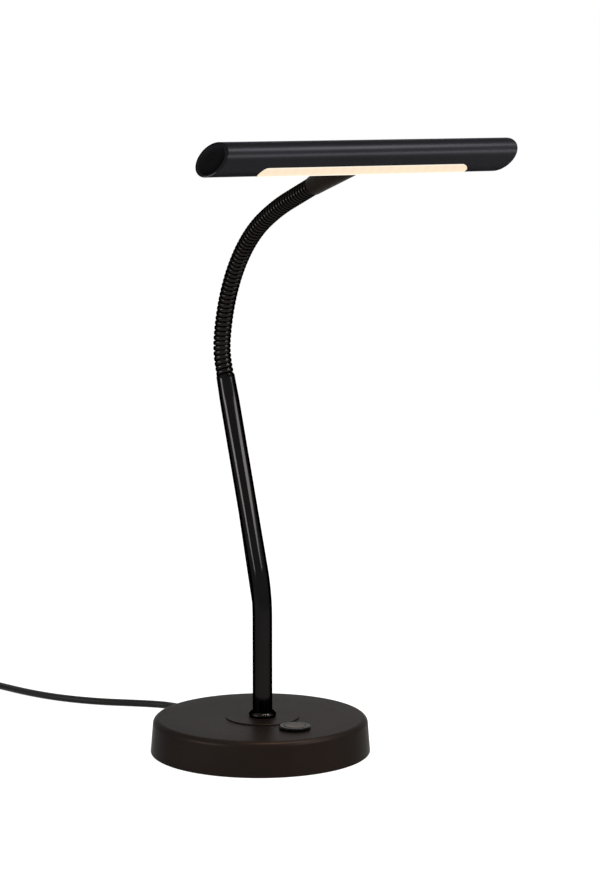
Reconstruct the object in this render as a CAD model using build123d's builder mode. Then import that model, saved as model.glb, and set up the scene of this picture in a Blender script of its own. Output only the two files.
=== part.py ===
"""Piano lamp: weighted round base, bent stem, gooseneck and a slim slotted LED tube.

Millimetres. The origin is the centre of the foot pad's underside. +X runs along the lamp
tube, -Y is the side that the lamp reaches over, and +Z is up.
"""
import os
from math import atan, cos, degrees, pi, radians, sin, tan

from build123d import *

os.makedirs("parts", exist_ok=True)


# ---------------------------------------------------------------- driving dimensions

# base
BASE_RADIUS = 88.0          # at the rim on the table
BASE_HEIGHT = 28.3          # top of the cover
BASE_DRAFT = 2.2            # how much narrower the cover is at its top
BASE_EDGE_RADIUS = 5.0
COVER_WALL = 1.5
RIM_GAP = 0.4               # the cover's rim stands this far above the table
FOOT_THICKNESS = 2.0
FOOT_INSET = 3.5            # from the rim to the pad's edge
BOTTOM_THICKNESS = 1.5
BOTTOM_INSET = 2.0
WEIGHT_THICKNESS = 10.0
WEIGHT_WINDOW_RADIUS = 48.0
WEIGHT_GAP = 5.5            # between the weight and the cover's rim
SWITCH_NOTCH_RADIUS = 15.5
LEAD_NOTCH_WIDTH = 30.0
LEAD_NOTCH_LENGTH = 46.0
LEAD_NOTCH_Y = 66.0
POST_CIRCLE_RADIUS = 66.0   # four threaded posts hold the bottom plate
POST_RADIUS = 4.0
POST_GAP = 0.4
SCREW_RADIUS = 1.6
SCREW_HEAD_RADIUS = 3.0
SCREW_GRIP = 8.0            # thread in the post
HOLE_GAP = 0.2              # what passes through the cover has this much room

# stem
STEM_FORWARD = 3.4          # the stem stands a little in front of the base's centre
STEM_RADIUS = 7.9
STEM_WALL = 1.5
STEM_CORNER_HEIGHT = 128.7
STEM_BEND_RADIUS = 115.0
STEM_LEAN = 19.5            # degrees, backwards
STEM_END_HEIGHT = 297.9
SWAGE_LENGTH = 24.0         # the stem's top is drawn down onto the hose
SWAGE_RADIUS = 7.5
PLATE_RADIUS = 29.3
PLATE_THICKNESS = 1.0
COLLAR_RADIUS = 11.0
COLLAR_HEIGHT = 4.4
NIPPLE_RADIUS = 5.0         # M10 hollow threaded tube
NIPPLE_BORE = 3.5
NIPPLE_BOTTOM = 17.5
NIPPLE_GRIP = 12.0          # thread inside the stem's foot
INSERT_LENGTH = 14.0
WASHER_RADIUS = 14.0
WASHER_THICKNESS = 1.6
STEM_NUT_APOTHEM = 8.5
STEM_NUT_HEIGHT = 5.0

# push switch on the base
SWITCH_FORWARD = 50.0
SWITCH_SIDE = 2.9           # to the right of the stem's middle
BEZEL_RADIUS = 12.45
BEZEL_HEIGHT = 2.7
BEZEL_EDGE = 0.8
SLEEVE_RADIUS = 9.8         # threaded, through the cover
SLEEVE_LENGTH = 13.5
SWITCH_NUT_APOTHEM = 12.5
SWITCH_NUT_HEIGHT = 3.0
CAP_RADIUS = 8.5
CAP_CLEARANCE = 0.2
CAP_THICKNESS = 2.6
CAP_PROUD = 0.2             # above the bezel when it isn't pressed
BUTTON_EDGE = 0.3
PLUNGER_RADIUS = 2.5
PLUNGER_CLEARANCE = 0.06
PLUNGER_LENGTH = 12.0
BLOCK_INSET = 7.5           # the contact block's top, below the cover's
BLOCK_BORE = 7.0
BLOCK_WIDTH = 20.0
BLOCK_HEIGHT = 8.0
BLOCK_CORNER = 2.0
TAG_SPACING = 8.0           # the block's two soldering tags
TAG_WIDTH = 4.0
TAG_THICKNESS = 1.2
TAG_LENGTH = 2.0

# driver electronics
BOARD_LENGTH = 52.0
BOARD_WIDTH = 26.0
BOARD_THICKNESS = 1.6
BOARD_CENTRE_Y = 24.0
SPACER_HEIGHT = 3.0
SPACER_RADIUS = 2.5
SPACER_INSET = 4.0          # from the board's edges
TRANSFORMER_X = -16.0
TRANSFORMER_LENGTH = 14.0
TRANSFORMER_WIDTH = 16.0
TRANSFORMER_HEIGHT = 11.0
CAPACITOR_X = 17.0
CAPACITOR_BACK = 3.0        # behind the board's middle
CAPACITOR_RADIUS = 5.0
CAPACITOR_HEIGHT = 12.0
TERMINAL_LENGTH = 10.0
TERMINAL_WIDTH = 8.0
TERMINAL_HEIGHT = 9.0
CLAMP_Y = 58.0              # the lead clamp's rear face
CLAMP_DEPTH = 8.0
CLAMP_LENGTH = 24.0
CLAMP_HEIGHT = 11.0
CLAMP_CORNER = 2.0
WIRE_RADIUS = 1.7
WIRE_RISE = 4.4             # above the driver's board
WIRE_BEND_RADIUS = 8.0      # its turn up into the stem
WIRE_STOP = 12.0            # its end, below the stem's

# hose: a straight start, three bends that ease off, then straight into the lamp tube
NECK_START_RUN = 8.5
NECK_BENDS = ((45.3, 28.0), (133.5, 53.6), (276.4, 8.8))    # radius, degrees
NECK_TAIL_RUN = 109.8       # from the last bend to the lamp tube's axis
RIB_PITCH = 4.1
RIB_COUNT = 57
CREST_RADIUS = 7.1
ROOT_RADIUS = 6.3
HOSE_BORE = 2.5
RIB_SLOPE = (CREST_RADIUS - ROOT_RADIUS) / (RIB_PITCH / 2)
BALL_RADIUS = 5.1           # where two lengths of the hose turn on each other
SOCKET_RADIUS = 5.18
HINGE_GAP = 1.5             # half the open groove at such a place
HINGE_RIBS = (4, 14, 24, 34, 44, 54)    # ribs counted up from the stem
ROOT_SPIGOT_RADIUS = 5.9    # sits in the stem's drawn-down end
ROOT_SPIGOT_LENGTH = 10.0
TIP_SPIGOT_RADIUS = 5.2     # sits in the sleeve behind the lamp tube
TIP_SPIGOT_LENGTH = 25.0

# lamp tube
HEAD_RADIUS = 12.5
HEAD_WALL = 1.5
HEAD_HALF_LENGTH = 123.3    # on the axis, from the middle to an end face
CUT_SLOPE = 0.77            # the oblique ends: run along the axis per radius
CUT_LONG_SIDE = 42.5        # degrees above forward, where the +X end reaches furthest
CAP_FLANGE = 1.0            # along the axis
CAP_PLUG = 7.0
CAP_PLUG_WALL = 1.5
CAP_EDGE = 0.3
SLOT_DROP = 62.5            # degrees below forward, where the light shines
SLOT_LENGTH = 179.0
SLOT_WIDTH = 13.6
DIFFUSER_PROUD = 0.5
DIFFUSER_GAP = 0.1          # to the slot's edge, all round
DIFFUSER_LIP = 1.5          # how far the lip reaches past the slot's edge
DIFFUSER_LIP_DEPTH = 1.2
LED_COUNT = 20
LED_PITCH = 8.0
LED_LENGTH = 3.5
LED_WIDTH = 2.8
LED_HEIGHT = 0.8
LED_BOARD_WIDTH = 8.0
LED_BOARD_THICKNESS = 1.0
CARRIER_WIDTH = 21.4
CARRIER_THICKNESS = 2.0
CARRIER_CUTOUT = 16.0       # square, around the nut
CARRIER_CUTOUT_BACK = 5.0   # where it starts, behind the lamp tube's axis
CARRIER_CUTOUT_DEPTH = 10.0
NECK_SLEEVE_RADIUS = 7.5    # smooth sleeve between the hose and the lamp tube, at its hose end
NECK_SLEEVE_FLARE = 2.2     # degrees, wider towards the lamp tube
NECK_SLEEVE_EDGE = 0.6
NECK_SLEEVE_BORE = 5.3
NECK_SLEEVE_DEPTH = 35.0
HEAD_NIPPLE_RADIUS = 4.0    # M8 hollow threaded tube
HEAD_NIPPLE_WALL = 1.6
HEAD_NIPPLE_BACK = 5.5      # its front end, behind the lamp tube's axis
HEAD_NIPPLE_LENGTH = 24.0
SADDLE_BACK = 9.4           # the nut's seat, behind the lamp tube's axis
SADDLE_LENGTH = 14.0        # along the lamp tube
HEAD_NUT_APOTHEM = 5.4
HEAD_NUT_HEIGHT = 3.0
GRUB_RADIUS = 1.5
GRUB_LENGTH = 2.4
GRUB_BACK = 58.9            # the set screw's place behind the lamp tube's axis
GRUB_TURN = 20.0            # degrees from straight below, towards the lamp's left

# mains lead
LEAD_RADIUS = 3.0
GLAND_HEIGHT = 9.0
RELIEF_RADIUS = 4.9         # in the cover's wall
RELIEF_INSIDE = 8.0         # its length inside the rim
RELIEF_TIP = 112.0          # the strain relief's end, behind the base's centre
RELIEF_FLANGE = 1.7         # how far its flange stands out around the hole in the cover
RELIEF_WALL = 0.6           # around the lead, at the tip
COIL_CENTRE = (-146.5, 336.6)
COIL_TURN_RADIUS = 36.0
COIL_HALF_WIDTH = 12.0      # four turns side by side
COIL_HEIGHT = 11.2          # and three nested on top of them
PLUG_X = -190.0
PLUG_BODY_Y = 260.0         # the plug body's end on the lead's side
PLUG_LENGTH = 36.0
PLUG_HALF_WIDTH = 17.6
PLUG_NOSE = 6.0             # half its width where the lead comes in
PLUG_SHOULDER = 14.0        # length of the part that widens
PLUG_CORNER = 2.0
PLUG_EDGE = 1.0
PLUG_THICKNESS = 13.7
PLUG_RELIEF = 28.0
PLUG_RELIEF_RADIUS = 5.4
PLUG_RELIEF_TAPER = 3.2     # degrees
PIN_RADIUS = 2.0
PIN_LENGTH = 19.0
PIN_SPACING = 18.6
PIN_TIP = 1.0


# ---------------------------------------------------------------- shared places

COVER_INSIDE = BASE_HEIGHT - COVER_WALL
PLATE_TOP = BASE_HEIGHT + PLATE_THICKNESS
BOTTOM_TOP = FOOT_THICKNESS + BOTTOM_THICKNESS
BEZEL_TOP = BASE_HEIGHT + BEZEL_HEIGHT
CAP_BOTTOM = BEZEL_TOP + CAP_PROUD - CAP_THICKNESS
BLOCK_TOP = BASE_HEIGHT - BLOCK_INSET
SLEEVE_BOTTOM = BASE_HEIGHT - SLEEVE_LENGTH
BOARD_Z = BOTTOM_TOP + SPACER_HEIGHT
BOARD_TOP = BOARD_Z + BOARD_THICKNESS
BOARD_REAR_Y = BOARD_CENTRE_Y + BOARD_WIDTH / 2
BOARD_FRONT_Y = BOARD_CENTRE_Y - BOARD_WIDTH / 2
SCREW_TAPER = degrees(atan((SCREW_HEAD_RADIUS - SCREW_RADIUS) / BOTTOM_THICKNESS))
SWAGE_TAPER = degrees(atan((STEM_RADIUS - SWAGE_RADIUS) / SWAGE_LENGTH))
LEAN = radians(STEM_LEAN)
STEM_END = (
    -STEM_FORWARD + (STEM_END_HEIGHT - STEM_CORNER_HEIGHT) * tan(LEAN),
    STEM_END_HEIGHT,
)
SWAGE_START = (STEM_END[0] - SWAGE_LENGTH * sin(LEAN), STEM_END[1] - SWAGE_LENGTH * cos(LEAN))

# the stem's and the hose's centre lines lie in the YZ plane
with BuildLine(Plane.YZ) as stem_line:
    FilletPolyline(
        (-STEM_FORWARD, PLATE_TOP),
        (-STEM_FORWARD, STEM_CORNER_HEIGHT),
        SWAGE_START,
        radius=STEM_BEND_RADIUS,
    )

with BuildLine(Plane.YZ) as neck_line:
    start_end = (STEM_END[0] + NECK_START_RUN * sin(LEAN), STEM_END[1] + NECK_START_RUN * cos(LEAN))
    Line(STEM_END, start_end)
    run_end = start_end
    run_heading = 90 - STEM_LEAN
    for bend_radius, bend_angle in NECK_BENDS:
        heading_vector = (cos(radians(run_heading)), sin(radians(run_heading)))
        bend = JernArc(run_end, heading_vector, bend_radius, bend_angle)
        run_heading += bend_angle
        run_end = ((bend @ 1).Y, (bend @ 1).Z)
    Line(
        run_end,
        (
            run_end[0] + NECK_TAIL_RUN * cos(radians(run_heading)),
            run_end[1] + NECK_TAIL_RUN * sin(radians(run_heading)),
        ),
    )

STEM = stem_line.wire()
NECK = neck_line.wire()
HEAD_CENTRE = NECK @ 1
BACK = (NECK % 1) * -1
FORWARD = Vector(0, -1, 0)
UP = Vector(0, 0, 1)


def keep(part, name):
    """Label a finished piece and write it as its own STEP file."""
    part.label = name
    export_step(part, f"parts/{name}.step")


def around_head(degrees_above_forward):
    """A unit vector square to the lamp tube, at an angle above the forward direction."""
    angle = radians(degrees_above_forward)
    return FORWARD * cos(angle) + UP * sin(angle)


def across_head(offset):
    """The plane square to the lamp tube at an offset from its middle."""
    return Plane(origin=HEAD_CENTRE + Vector(offset, 0, 0), x_dir=FORWARD, z_dir=(1, 0, 0))


def oblique_plane(offset):
    """A plane parallel to the lamp tube's end faces, crossing its axis at an offset."""
    normal = Vector(1, 0, 0) - around_head(CUT_LONG_SIDE) * CUT_SLOPE
    return Plane(origin=HEAD_CENTRE + Vector(offset, 0, 0), x_dir=(0, 0, 1), z_dir=normal)


def slot_plane(depth):
    """The plane facing out of the light slot, at a depth from the lamp tube's axis."""
    out = around_head(-SLOT_DROP)
    return Plane(origin=HEAD_CENTRE + out * depth, x_dir=(1, 0, 0), z_dir=out)


def back_plane(distance):
    """The plane square to the neck behind the lamp tube, at a distance from its axis."""
    return Plane(origin=HEAD_CENTRE + BACK * distance, x_dir=(1, 0, 0), z_dir=BACK)


STEM_FOOT = Plane(origin=(0, -STEM_FORWARD, 0))
SWITCH = Plane(origin=(SWITCH_SIDE, -SWITCH_FORWARD, 0))
GLAND = Plane(origin=(0, BASE_RADIUS, GLAND_HEIGHT), x_dir=(1, 0, 0), z_dir=(0, 1, 0))
below_neck = BACK.cross(Vector(-1, 0, 0))
GRUB_SCREW = Plane(
    origin=HEAD_CENTRE + BACK * GRUB_BACK,
    x_dir=BACK,
    z_dir=below_neck * cos(radians(GRUB_TURN)) + Vector(-1, 0, 0) * sin(radians(GRUB_TURN)),
)


# ---------------------------------------------------------------- base

# steel cover with a drafted side, a rounded edge and four welded posts inside
with BuildPart() as base_cover:
    with BuildSketch(Plane.XZ) as cover_section:
        with BuildLine():
            Polyline(
                (0, RIM_GAP),
                (BASE_RADIUS, RIM_GAP),
                (BASE_RADIUS - BASE_DRAFT, BASE_HEIGHT),
                (0, BASE_HEIGHT),
                close=True,
            )
        make_face()
        fillet(cover_section.vertices().sort_by_distance((BASE_RADIUS, BASE_HEIGHT))[0], BASE_EDGE_RADIUS)
        with BuildLine():
            Polyline(
                (0, 0),
                (BASE_RADIUS - COVER_WALL, 0),
                (BASE_RADIUS - BASE_DRAFT - COVER_WALL, BASE_HEIGHT - BASE_EDGE_RADIUS),
                (BASE_RADIUS - BASE_DRAFT - BASE_EDGE_RADIUS, COVER_INSIDE),
                (0, COVER_INSIDE),
                close=True,
            )
        make_face(mode=Mode.SUBTRACT)
    revolve(axis=Axis.Z)
    with BuildSketch(Plane.XY.offset(BOTTOM_TOP)):
        with PolarLocations(POST_CIRCLE_RADIUS, 4, start_angle=45):
            Circle(POST_RADIUS)
            Circle(SCREW_RADIUS, mode=Mode.SUBTRACT)
    extrude(amount=COVER_INSIDE - BOTTOM_TOP)
    with BuildSketch(STEM_FOOT.offset(BASE_HEIGHT)):
        Circle(NIPPLE_RADIUS + HOLE_GAP)
    extrude(amount=-2 * COVER_WALL, mode=Mode.SUBTRACT)
    with BuildSketch(SWITCH.offset(BASE_HEIGHT)):
        Circle(SLEEVE_RADIUS + HOLE_GAP)
    extrude(amount=-2 * COVER_WALL, mode=Mode.SUBTRACT)
    with BuildSketch(GLAND):
        Circle(RELIEF_RADIUS + HOLE_GAP / 2)
    extrude(amount=2 * COVER_WALL, both=True, mode=Mode.SUBTRACT)
keep(base_cover.part, "base_cover")

# cast-iron ring, notched for the switch and the lead, with holes for the posts
with BuildPart() as base_weight:
    with BuildSketch(Plane.XY.offset(BOTTOM_TOP)):
        Circle(BASE_RADIUS - WEIGHT_GAP)
        Circle(WEIGHT_WINDOW_RADIUS, mode=Mode.SUBTRACT)
        with Locations((SWITCH_SIDE, -SWITCH_FORWARD)):
            Circle(SWITCH_NOTCH_RADIUS, mode=Mode.SUBTRACT)
        with Locations((0, LEAD_NOTCH_Y)):
            Rectangle(LEAD_NOTCH_WIDTH, LEAD_NOTCH_LENGTH, mode=Mode.SUBTRACT)
        with PolarLocations(POST_CIRCLE_RADIUS, 4, start_angle=45):
            Circle(POST_RADIUS + POST_GAP, mode=Mode.SUBTRACT)
    extrude(amount=WEIGHT_THICKNESS)
keep(base_weight.part, "base_weight")

# steel bottom plate, countersunk for its four screws
with BuildPart() as bottom_plate:
    with BuildSketch(Plane.XY.offset(FOOT_THICKNESS)):
        Circle(BASE_RADIUS - BOTTOM_INSET)
    extrude(amount=BOTTOM_THICKNESS)
    with BuildSketch(Plane.XY.offset(FOOT_THICKNESS)):
        with PolarLocations(POST_CIRCLE_RADIUS, 4, start_angle=45):
            Circle(SCREW_HEAD_RADIUS)
    extrude(amount=BOTTOM_THICKNESS, taper=SCREW_TAPER, mode=Mode.SUBTRACT)
keep(bottom_plate.part, "bottom_plate")

# countersunk screws, through the bottom plate into the posts
with BuildPart() as bottom_screws:
    with BuildSketch(Plane.XY.offset(FOOT_THICKNESS)):
        with PolarLocations(POST_CIRCLE_RADIUS, 4, start_angle=45):
            Circle(SCREW_HEAD_RADIUS)
    extrude(amount=BOTTOM_THICKNESS, taper=SCREW_TAPER)
    with BuildSketch(Plane.XY.offset(BOTTOM_TOP)):
        with PolarLocations(POST_CIRCLE_RADIUS, 4, start_angle=45):
            Circle(SCREW_RADIUS)
    extrude(amount=SCREW_GRIP)
keep(bottom_screws.part, "bottom_screws")

# foam rubber pad glued under the bottom plate
with BuildPart() as foot_pad:
    with BuildSketch():
        Circle(BASE_RADIUS - FOOT_INSET)
    extrude(amount=FOOT_THICKNESS)
keep(foot_pad.part, "foot_pad")


# ---------------------------------------------------------------- stem and its fixing

# round plate that spreads the stem's load over the cover
with BuildPart() as stem_plate:
    with BuildSketch(STEM_FOOT.offset(BASE_HEIGHT)):
        Circle(PLATE_RADIUS)
        Circle(NIPPLE_RADIUS + HOLE_GAP, mode=Mode.SUBTRACT)
    extrude(amount=PLATE_THICKNESS)
keep(stem_plate.part, "stem_plate")

# bead-shaped collar around the stem's foot
with BuildPart() as stem_collar:
    with BuildSketch(Plane(STEM_FOOT.offset(PLATE_TOP).origin, x_dir=(1, 0, 0), z_dir=(0, -1, 0))):
        with BuildLine():
            Polyline(
                (STEM_RADIUS, 0),
                (COLLAR_RADIUS - 0.5, 0),
                (COLLAR_RADIUS, 0.3 * COLLAR_HEIGHT),
                (COLLAR_RADIUS - 0.6, 0.72 * COLLAR_HEIGHT),
                (STEM_RADIUS + 0.6, COLLAR_HEIGHT),
                (STEM_RADIUS, COLLAR_HEIGHT),
                close=True,
            )
        make_face()
    revolve(axis=Axis((0, -STEM_FORWARD, 0), (0, 0, 1)))
keep(stem_collar.part, "stem_collar")

# bent steel tube, drawn down at its top around the hose's foot
with BuildPart() as stem_tube:
    with BuildSketch(STEM_FOOT.offset(PLATE_TOP)):
        Circle(STEM_RADIUS)
        Circle(STEM_RADIUS - STEM_WALL, mode=Mode.SUBTRACT)
    sweep(path=STEM)
    swage = Plane(origin=STEM @ 1, x_dir=(1, 0, 0), z_dir=STEM % 1)
    with BuildSketch(swage):
        Circle(STEM_RADIUS)
    extrude(amount=SWAGE_LENGTH, taper=SWAGE_TAPER)
    with BuildSketch(swage):
        Circle(STEM_RADIUS - STEM_WALL)
    extrude(amount=SWAGE_LENGTH, taper=SWAGE_TAPER, mode=Mode.SUBTRACT)
keep(stem_tube.part, "stem_tube")

# plug brazed into the stem's foot, threaded for the nipple
with BuildPart() as stem_insert:
    with BuildSketch(STEM_FOOT.offset(PLATE_TOP)):
        Circle(STEM_RADIUS - STEM_WALL)
        Circle(NIPPLE_RADIUS, mode=Mode.SUBTRACT)
    extrude(amount=INSERT_LENGTH)
keep(stem_insert.part, "stem_insert")

# hollow threaded tube that pulls the stem down onto the cover and lets the wires through
with BuildPart() as stem_nipple:
    with BuildSketch(STEM_FOOT.offset(NIPPLE_BOTTOM)):
        Circle(NIPPLE_RADIUS)
        Circle(NIPPLE_BORE, mode=Mode.SUBTRACT)
    extrude(amount=PLATE_TOP + NIPPLE_GRIP - NIPPLE_BOTTOM)
keep(stem_nipple.part, "stem_nipple")

with BuildPart() as stem_washer:
    with BuildSketch(STEM_FOOT.offset(COVER_INSIDE)):
        Circle(WASHER_RADIUS)
        Circle(NIPPLE_RADIUS, mode=Mode.SUBTRACT)
    extrude(amount=-WASHER_THICKNESS)
keep(stem_washer.part, "stem_washer")

with BuildPart() as stem_nut:
    with BuildSketch(STEM_FOOT.offset(COVER_INSIDE - WASHER_THICKNESS)):
        RegularPolygon(radius=STEM_NUT_APOTHEM, side_count=6, major_radius=False)
        Circle(NIPPLE_RADIUS, mode=Mode.SUBTRACT)
    extrude(amount=-STEM_NUT_HEIGHT)
keep(stem_nut.part, "stem_nut")


# ---------------------------------------------------------------- push switch

# flange on the cover and the threaded sleeve below it, one moulding
with BuildPart() as switch_bezel:
    with BuildSketch(SWITCH.offset(BASE_HEIGHT)):
        Circle(BEZEL_RADIUS)
    extrude(amount=BEZEL_HEIGHT)
    chamfer(switch_bezel.edges().group_by(Axis.Z)[-1], BEZEL_EDGE)
    with BuildSketch(SWITCH.offset(BASE_HEIGHT)):
        Circle(SLEEVE_RADIUS)
    extrude(amount=-SLEEVE_LENGTH)
    with BuildSketch(SWITCH.offset(BEZEL_TOP)):
        Circle(CAP_RADIUS + CAP_CLEARANCE)
    extrude(amount=SLEEVE_BOTTOM - BEZEL_TOP, mode=Mode.SUBTRACT)
keep(switch_bezel.part, "switch_bezel")

# pressed by a finger: a flat cap on a plunger that runs in the contact block
with BuildPart() as switch_cap:
    with BuildSketch(SWITCH.offset(CAP_BOTTOM)):
        Circle(CAP_RADIUS)
    extrude(amount=CAP_THICKNESS)
    chamfer(switch_cap.edges().group_by(Axis.Z)[-1], BUTTON_EDGE)
    with BuildSketch(SWITCH.offset(CAP_BOTTOM)):
        Circle(PLUNGER_RADIUS)
    extrude(amount=-PLUNGER_LENGTH)
keep(switch_cap.part, "switch_cap")

# contact block, with its spring inside, that closes the sleeve from below
with BuildPart() as switch_block:
    with BuildSketch(SWITCH.offset(BLOCK_TOP)):
        Circle(CAP_RADIUS + CAP_CLEARANCE)
    extrude(amount=SLEEVE_BOTTOM - BLOCK_TOP)
    with BuildSketch(SWITCH.offset(SLEEVE_BOTTOM)):
        RectangleRounded(BLOCK_WIDTH, BLOCK_WIDTH, BLOCK_CORNER)
    extrude(amount=-BLOCK_HEIGHT)
    with BuildSketch(SWITCH.offset(SLEEVE_BOTTOM - BLOCK_HEIGHT)):
        with GridLocations(TAG_SPACING, 0, 2, 1):
            Rectangle(TAG_THICKNESS, TAG_WIDTH)
    extrude(amount=-TAG_LENGTH)
    with BuildSketch(SWITCH.offset(BLOCK_TOP)):
        Circle(PLUNGER_RADIUS + PLUNGER_CLEARANCE)
    extrude(amount=-BLOCK_BORE, mode=Mode.SUBTRACT)
keep(switch_block.part, "switch_block")

with BuildPart() as switch_nut:
    with BuildSketch(SWITCH.offset(COVER_INSIDE)):
        RegularPolygon(radius=SWITCH_NUT_APOTHEM, side_count=6, major_radius=False)
        Circle(SLEEVE_RADIUS, mode=Mode.SUBTRACT)
    extrude(amount=-SWITCH_NUT_HEIGHT)
keep(switch_nut.part, "switch_nut")


# ---------------------------------------------------------------- electronics in the base

with BuildPart() as driver_board:
    with BuildSketch(Plane.XY.offset(BOARD_Z)):
        with Locations((0, BOARD_CENTRE_Y)):
            Rectangle(BOARD_LENGTH, BOARD_WIDTH)
    extrude(amount=BOARD_THICKNESS)
keep(driver_board.part, "driver_board")

with BuildPart() as board_spacers:
    with BuildSketch(Plane.XY.offset(BOTTOM_TOP)):
        with Locations((0, BOARD_CENTRE_Y)):
            with GridLocations(BOARD_LENGTH - 2 * SPACER_INSET, BOARD_WIDTH - 2 * SPACER_INSET, 2, 2):
                Circle(SPACER_RADIUS)
    extrude(amount=SPACER_HEIGHT)
keep(board_spacers.part, "board_spacers")

# transformer, capacitor and the two terminal blocks
with BuildPart() as driver_components:
    with BuildSketch(Plane.XY.offset(BOARD_TOP)):
        with Locations((TRANSFORMER_X, BOARD_CENTRE_Y)):
            Rectangle(TRANSFORMER_LENGTH, TRANSFORMER_WIDTH)
    extrude(amount=TRANSFORMER_HEIGHT)
    with BuildSketch(Plane.XY.offset(BOARD_TOP)):
        with Locations((CAPACITOR_X, BOARD_CENTRE_Y + CAPACITOR_BACK)):
            Circle(CAPACITOR_RADIUS)
    extrude(amount=CAPACITOR_HEIGHT)
    with BuildSketch(Plane.XY.offset(BOARD_TOP)):
        with Locations((0, BOARD_REAR_Y - TERMINAL_WIDTH / 2), (0, BOARD_FRONT_Y + TERMINAL_WIDTH / 2)):
            Rectangle(TERMINAL_LENGTH, TERMINAL_WIDTH)
    extrude(amount=TERMINAL_HEIGHT)
keep(driver_components.part, "driver_components")

# clamp that takes the pull off the mains lead
with BuildPart() as lead_clamp:
    with BuildSketch(Plane(origin=(0, CLAMP_Y, BOTTOM_TOP), x_dir=(1, 0, 0), z_dir=(0, -1, 0))):
        with Locations((0, CLAMP_HEIGHT / 2)):
            RectangleRounded(CLAMP_LENGTH, CLAMP_HEIGHT, CLAMP_CORNER)
        with Locations((0, GLAND_HEIGHT - BOTTOM_TOP)):
            Circle(LEAD_RADIUS, mode=Mode.SUBTRACT)
    extrude(amount=CLAMP_DEPTH)
keep(lead_clamp.part, "lead_clamp")

# the lead's last stretch, from the strain relief through the clamp to the driver
with BuildPart() as inside_lead:
    with BuildSketch(GLAND.offset(-RELIEF_INSIDE)):
        Circle(LEAD_RADIUS)
    extrude(amount=BOARD_REAR_Y + RELIEF_INSIDE - BASE_RADIUS)
keep(inside_lead.part, "inside_lead")

# two-core wire from the driver up through the stem to the hose's foot
WIRE_HEIGHT = BOARD_TOP + WIRE_RISE
with BuildPart() as stem_wire:
    with BuildLine(Plane.YZ) as wire_line:
        FilletPolyline(
            (BOARD_FRONT_Y, WIRE_HEIGHT),
            (-STEM_FORWARD, WIRE_HEIGHT),
            (-STEM_FORWARD, STEM_CORNER_HEIGHT),
            (STEM_END[0] - WIRE_STOP * sin(LEAN), STEM_END[1] - WIRE_STOP * cos(LEAN)),
            radius=(WIRE_BEND_RADIUS, STEM_BEND_RADIUS),
        )
    with BuildSketch(Plane(origin=wire_line.wire() @ 0, z_dir=(0, -1, 0))):
        Circle(WIRE_RADIUS)
    sweep(path=wire_line.wire())
keep(stem_wire.part, "stem_wire")


# ---------------------------------------------------------------- hose

VALLEYS = [
    NECK.position_at(rib * RIB_PITCH, position_mode=PositionMode.LENGTH) for rib in range(RIB_COUNT + 1)
]


def valley_plane(rib):
    """The plane across the hose in the valley below a rib, halving the bend between its neighbours."""
    ahead = VALLEYS[min(rib, RIB_COUNT - 1) + 1] - VALLEYS[min(rib, RIB_COUNT - 1)]
    behind = VALLEYS[max(rib, 1)] - VALLEYS[max(rib, 1) - 1]
    return Plane(VALLEYS[rib], x_dir=(1, 0, 0), z_dir=ahead.normalized() + behind.normalized())


def turned_form(origin, axis_direction, points):
    """A form turned about the hose's own line, its section given as radius and height."""
    section = Plane(origin=origin, x_dir=(1, 0, 0), z_dir=Vector(1, 0, 0).cross(axis_direction))
    with BuildPart() as turned:
        with BuildSketch(section):
            with BuildLine():
                Polyline(*points, close=True)
            make_face()
        revolve(axis=Axis(origin, axis_direction))
    return turned.part


def hose_rib(rib, low_cut, high_cut):
    """One rib, a double cone between two valleys, cut to the planes on its two sides."""
    along = VALLEYS[rib + 1] - VALLEYS[rib]
    half = along.length / 2
    points = (
        (0, -2 * half),
        (ROOT_RADIUS - RIB_SLOPE * half, -2 * half),
        (ROOT_RADIUS + RIB_SLOPE * half, 0),
        (ROOT_RADIUS - RIB_SLOPE * half, 2 * half),
        (0, 2 * half),
    )
    with BuildPart() as ring:
        add(turned_form(VALLEYS[rib] + along / 2, along.normalized(), points))
        split(bisect_by=low_cut, keep=Keep.TOP)
        split(bisect_by=high_cut, keep=Keep.BOTTOM)
    return ring.part


def hose_length(first_rib, last_rib):
    """One stiff length of ribbed hose, with a socket and a ball where it turns on the next ones."""
    start = valley_plane(first_rib)
    end = valley_plane(last_rib)
    bore_start = start.origin
    bore_end = end.origin
    cuts = [valley_plane(rib) for rib in range(first_rib, last_rib + 1)]
    if first_rib in HINGE_RIBS:
        cuts[0] = start.offset(HINGE_GAP)
    if last_rib in HINGE_RIBS:
        cuts[-1] = end.offset(-HINGE_GAP)
    with BuildPart() as hose:
        for rib, low_cut, high_cut in zip(range(first_rib, last_rib), cuts, cuts[1:]):
            add(hose_rib(rib, low_cut, high_cut))
        if first_rib in HINGE_RIBS:
            add(turned_form(start.origin, start.z_dir, SOCKET_POINTS), mode=Mode.SUBTRACT)
        else:
            with BuildSketch(start):
                Circle(ROOT_SPIGOT_RADIUS)
            extrude(amount=-ROOT_SPIGOT_LENGTH)
            bore_start -= start.z_dir * ROOT_SPIGOT_LENGTH
        if last_rib in HINGE_RIBS:
            add(turned_form(end.origin, end.z_dir, BALL_POINTS))
        else:
            with BuildSketch(end):
                Circle(TIP_SPIGOT_RADIUS)
            extrude(amount=TIP_SPIGOT_LENGTH)
            bore_end += end.z_dir * TIP_SPIGOT_LENGTH
        chord = bore_end - bore_start
        with BuildSketch(Plane(origin=bore_start + chord / 2, x_dir=(1, 0, 0), z_dir=chord)):
            Circle(HOSE_BORE)
        extrude(amount=chord.length / 2 + BALL_RADIUS, both=True, mode=Mode.SUBTRACT)
    return hose.part


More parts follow.
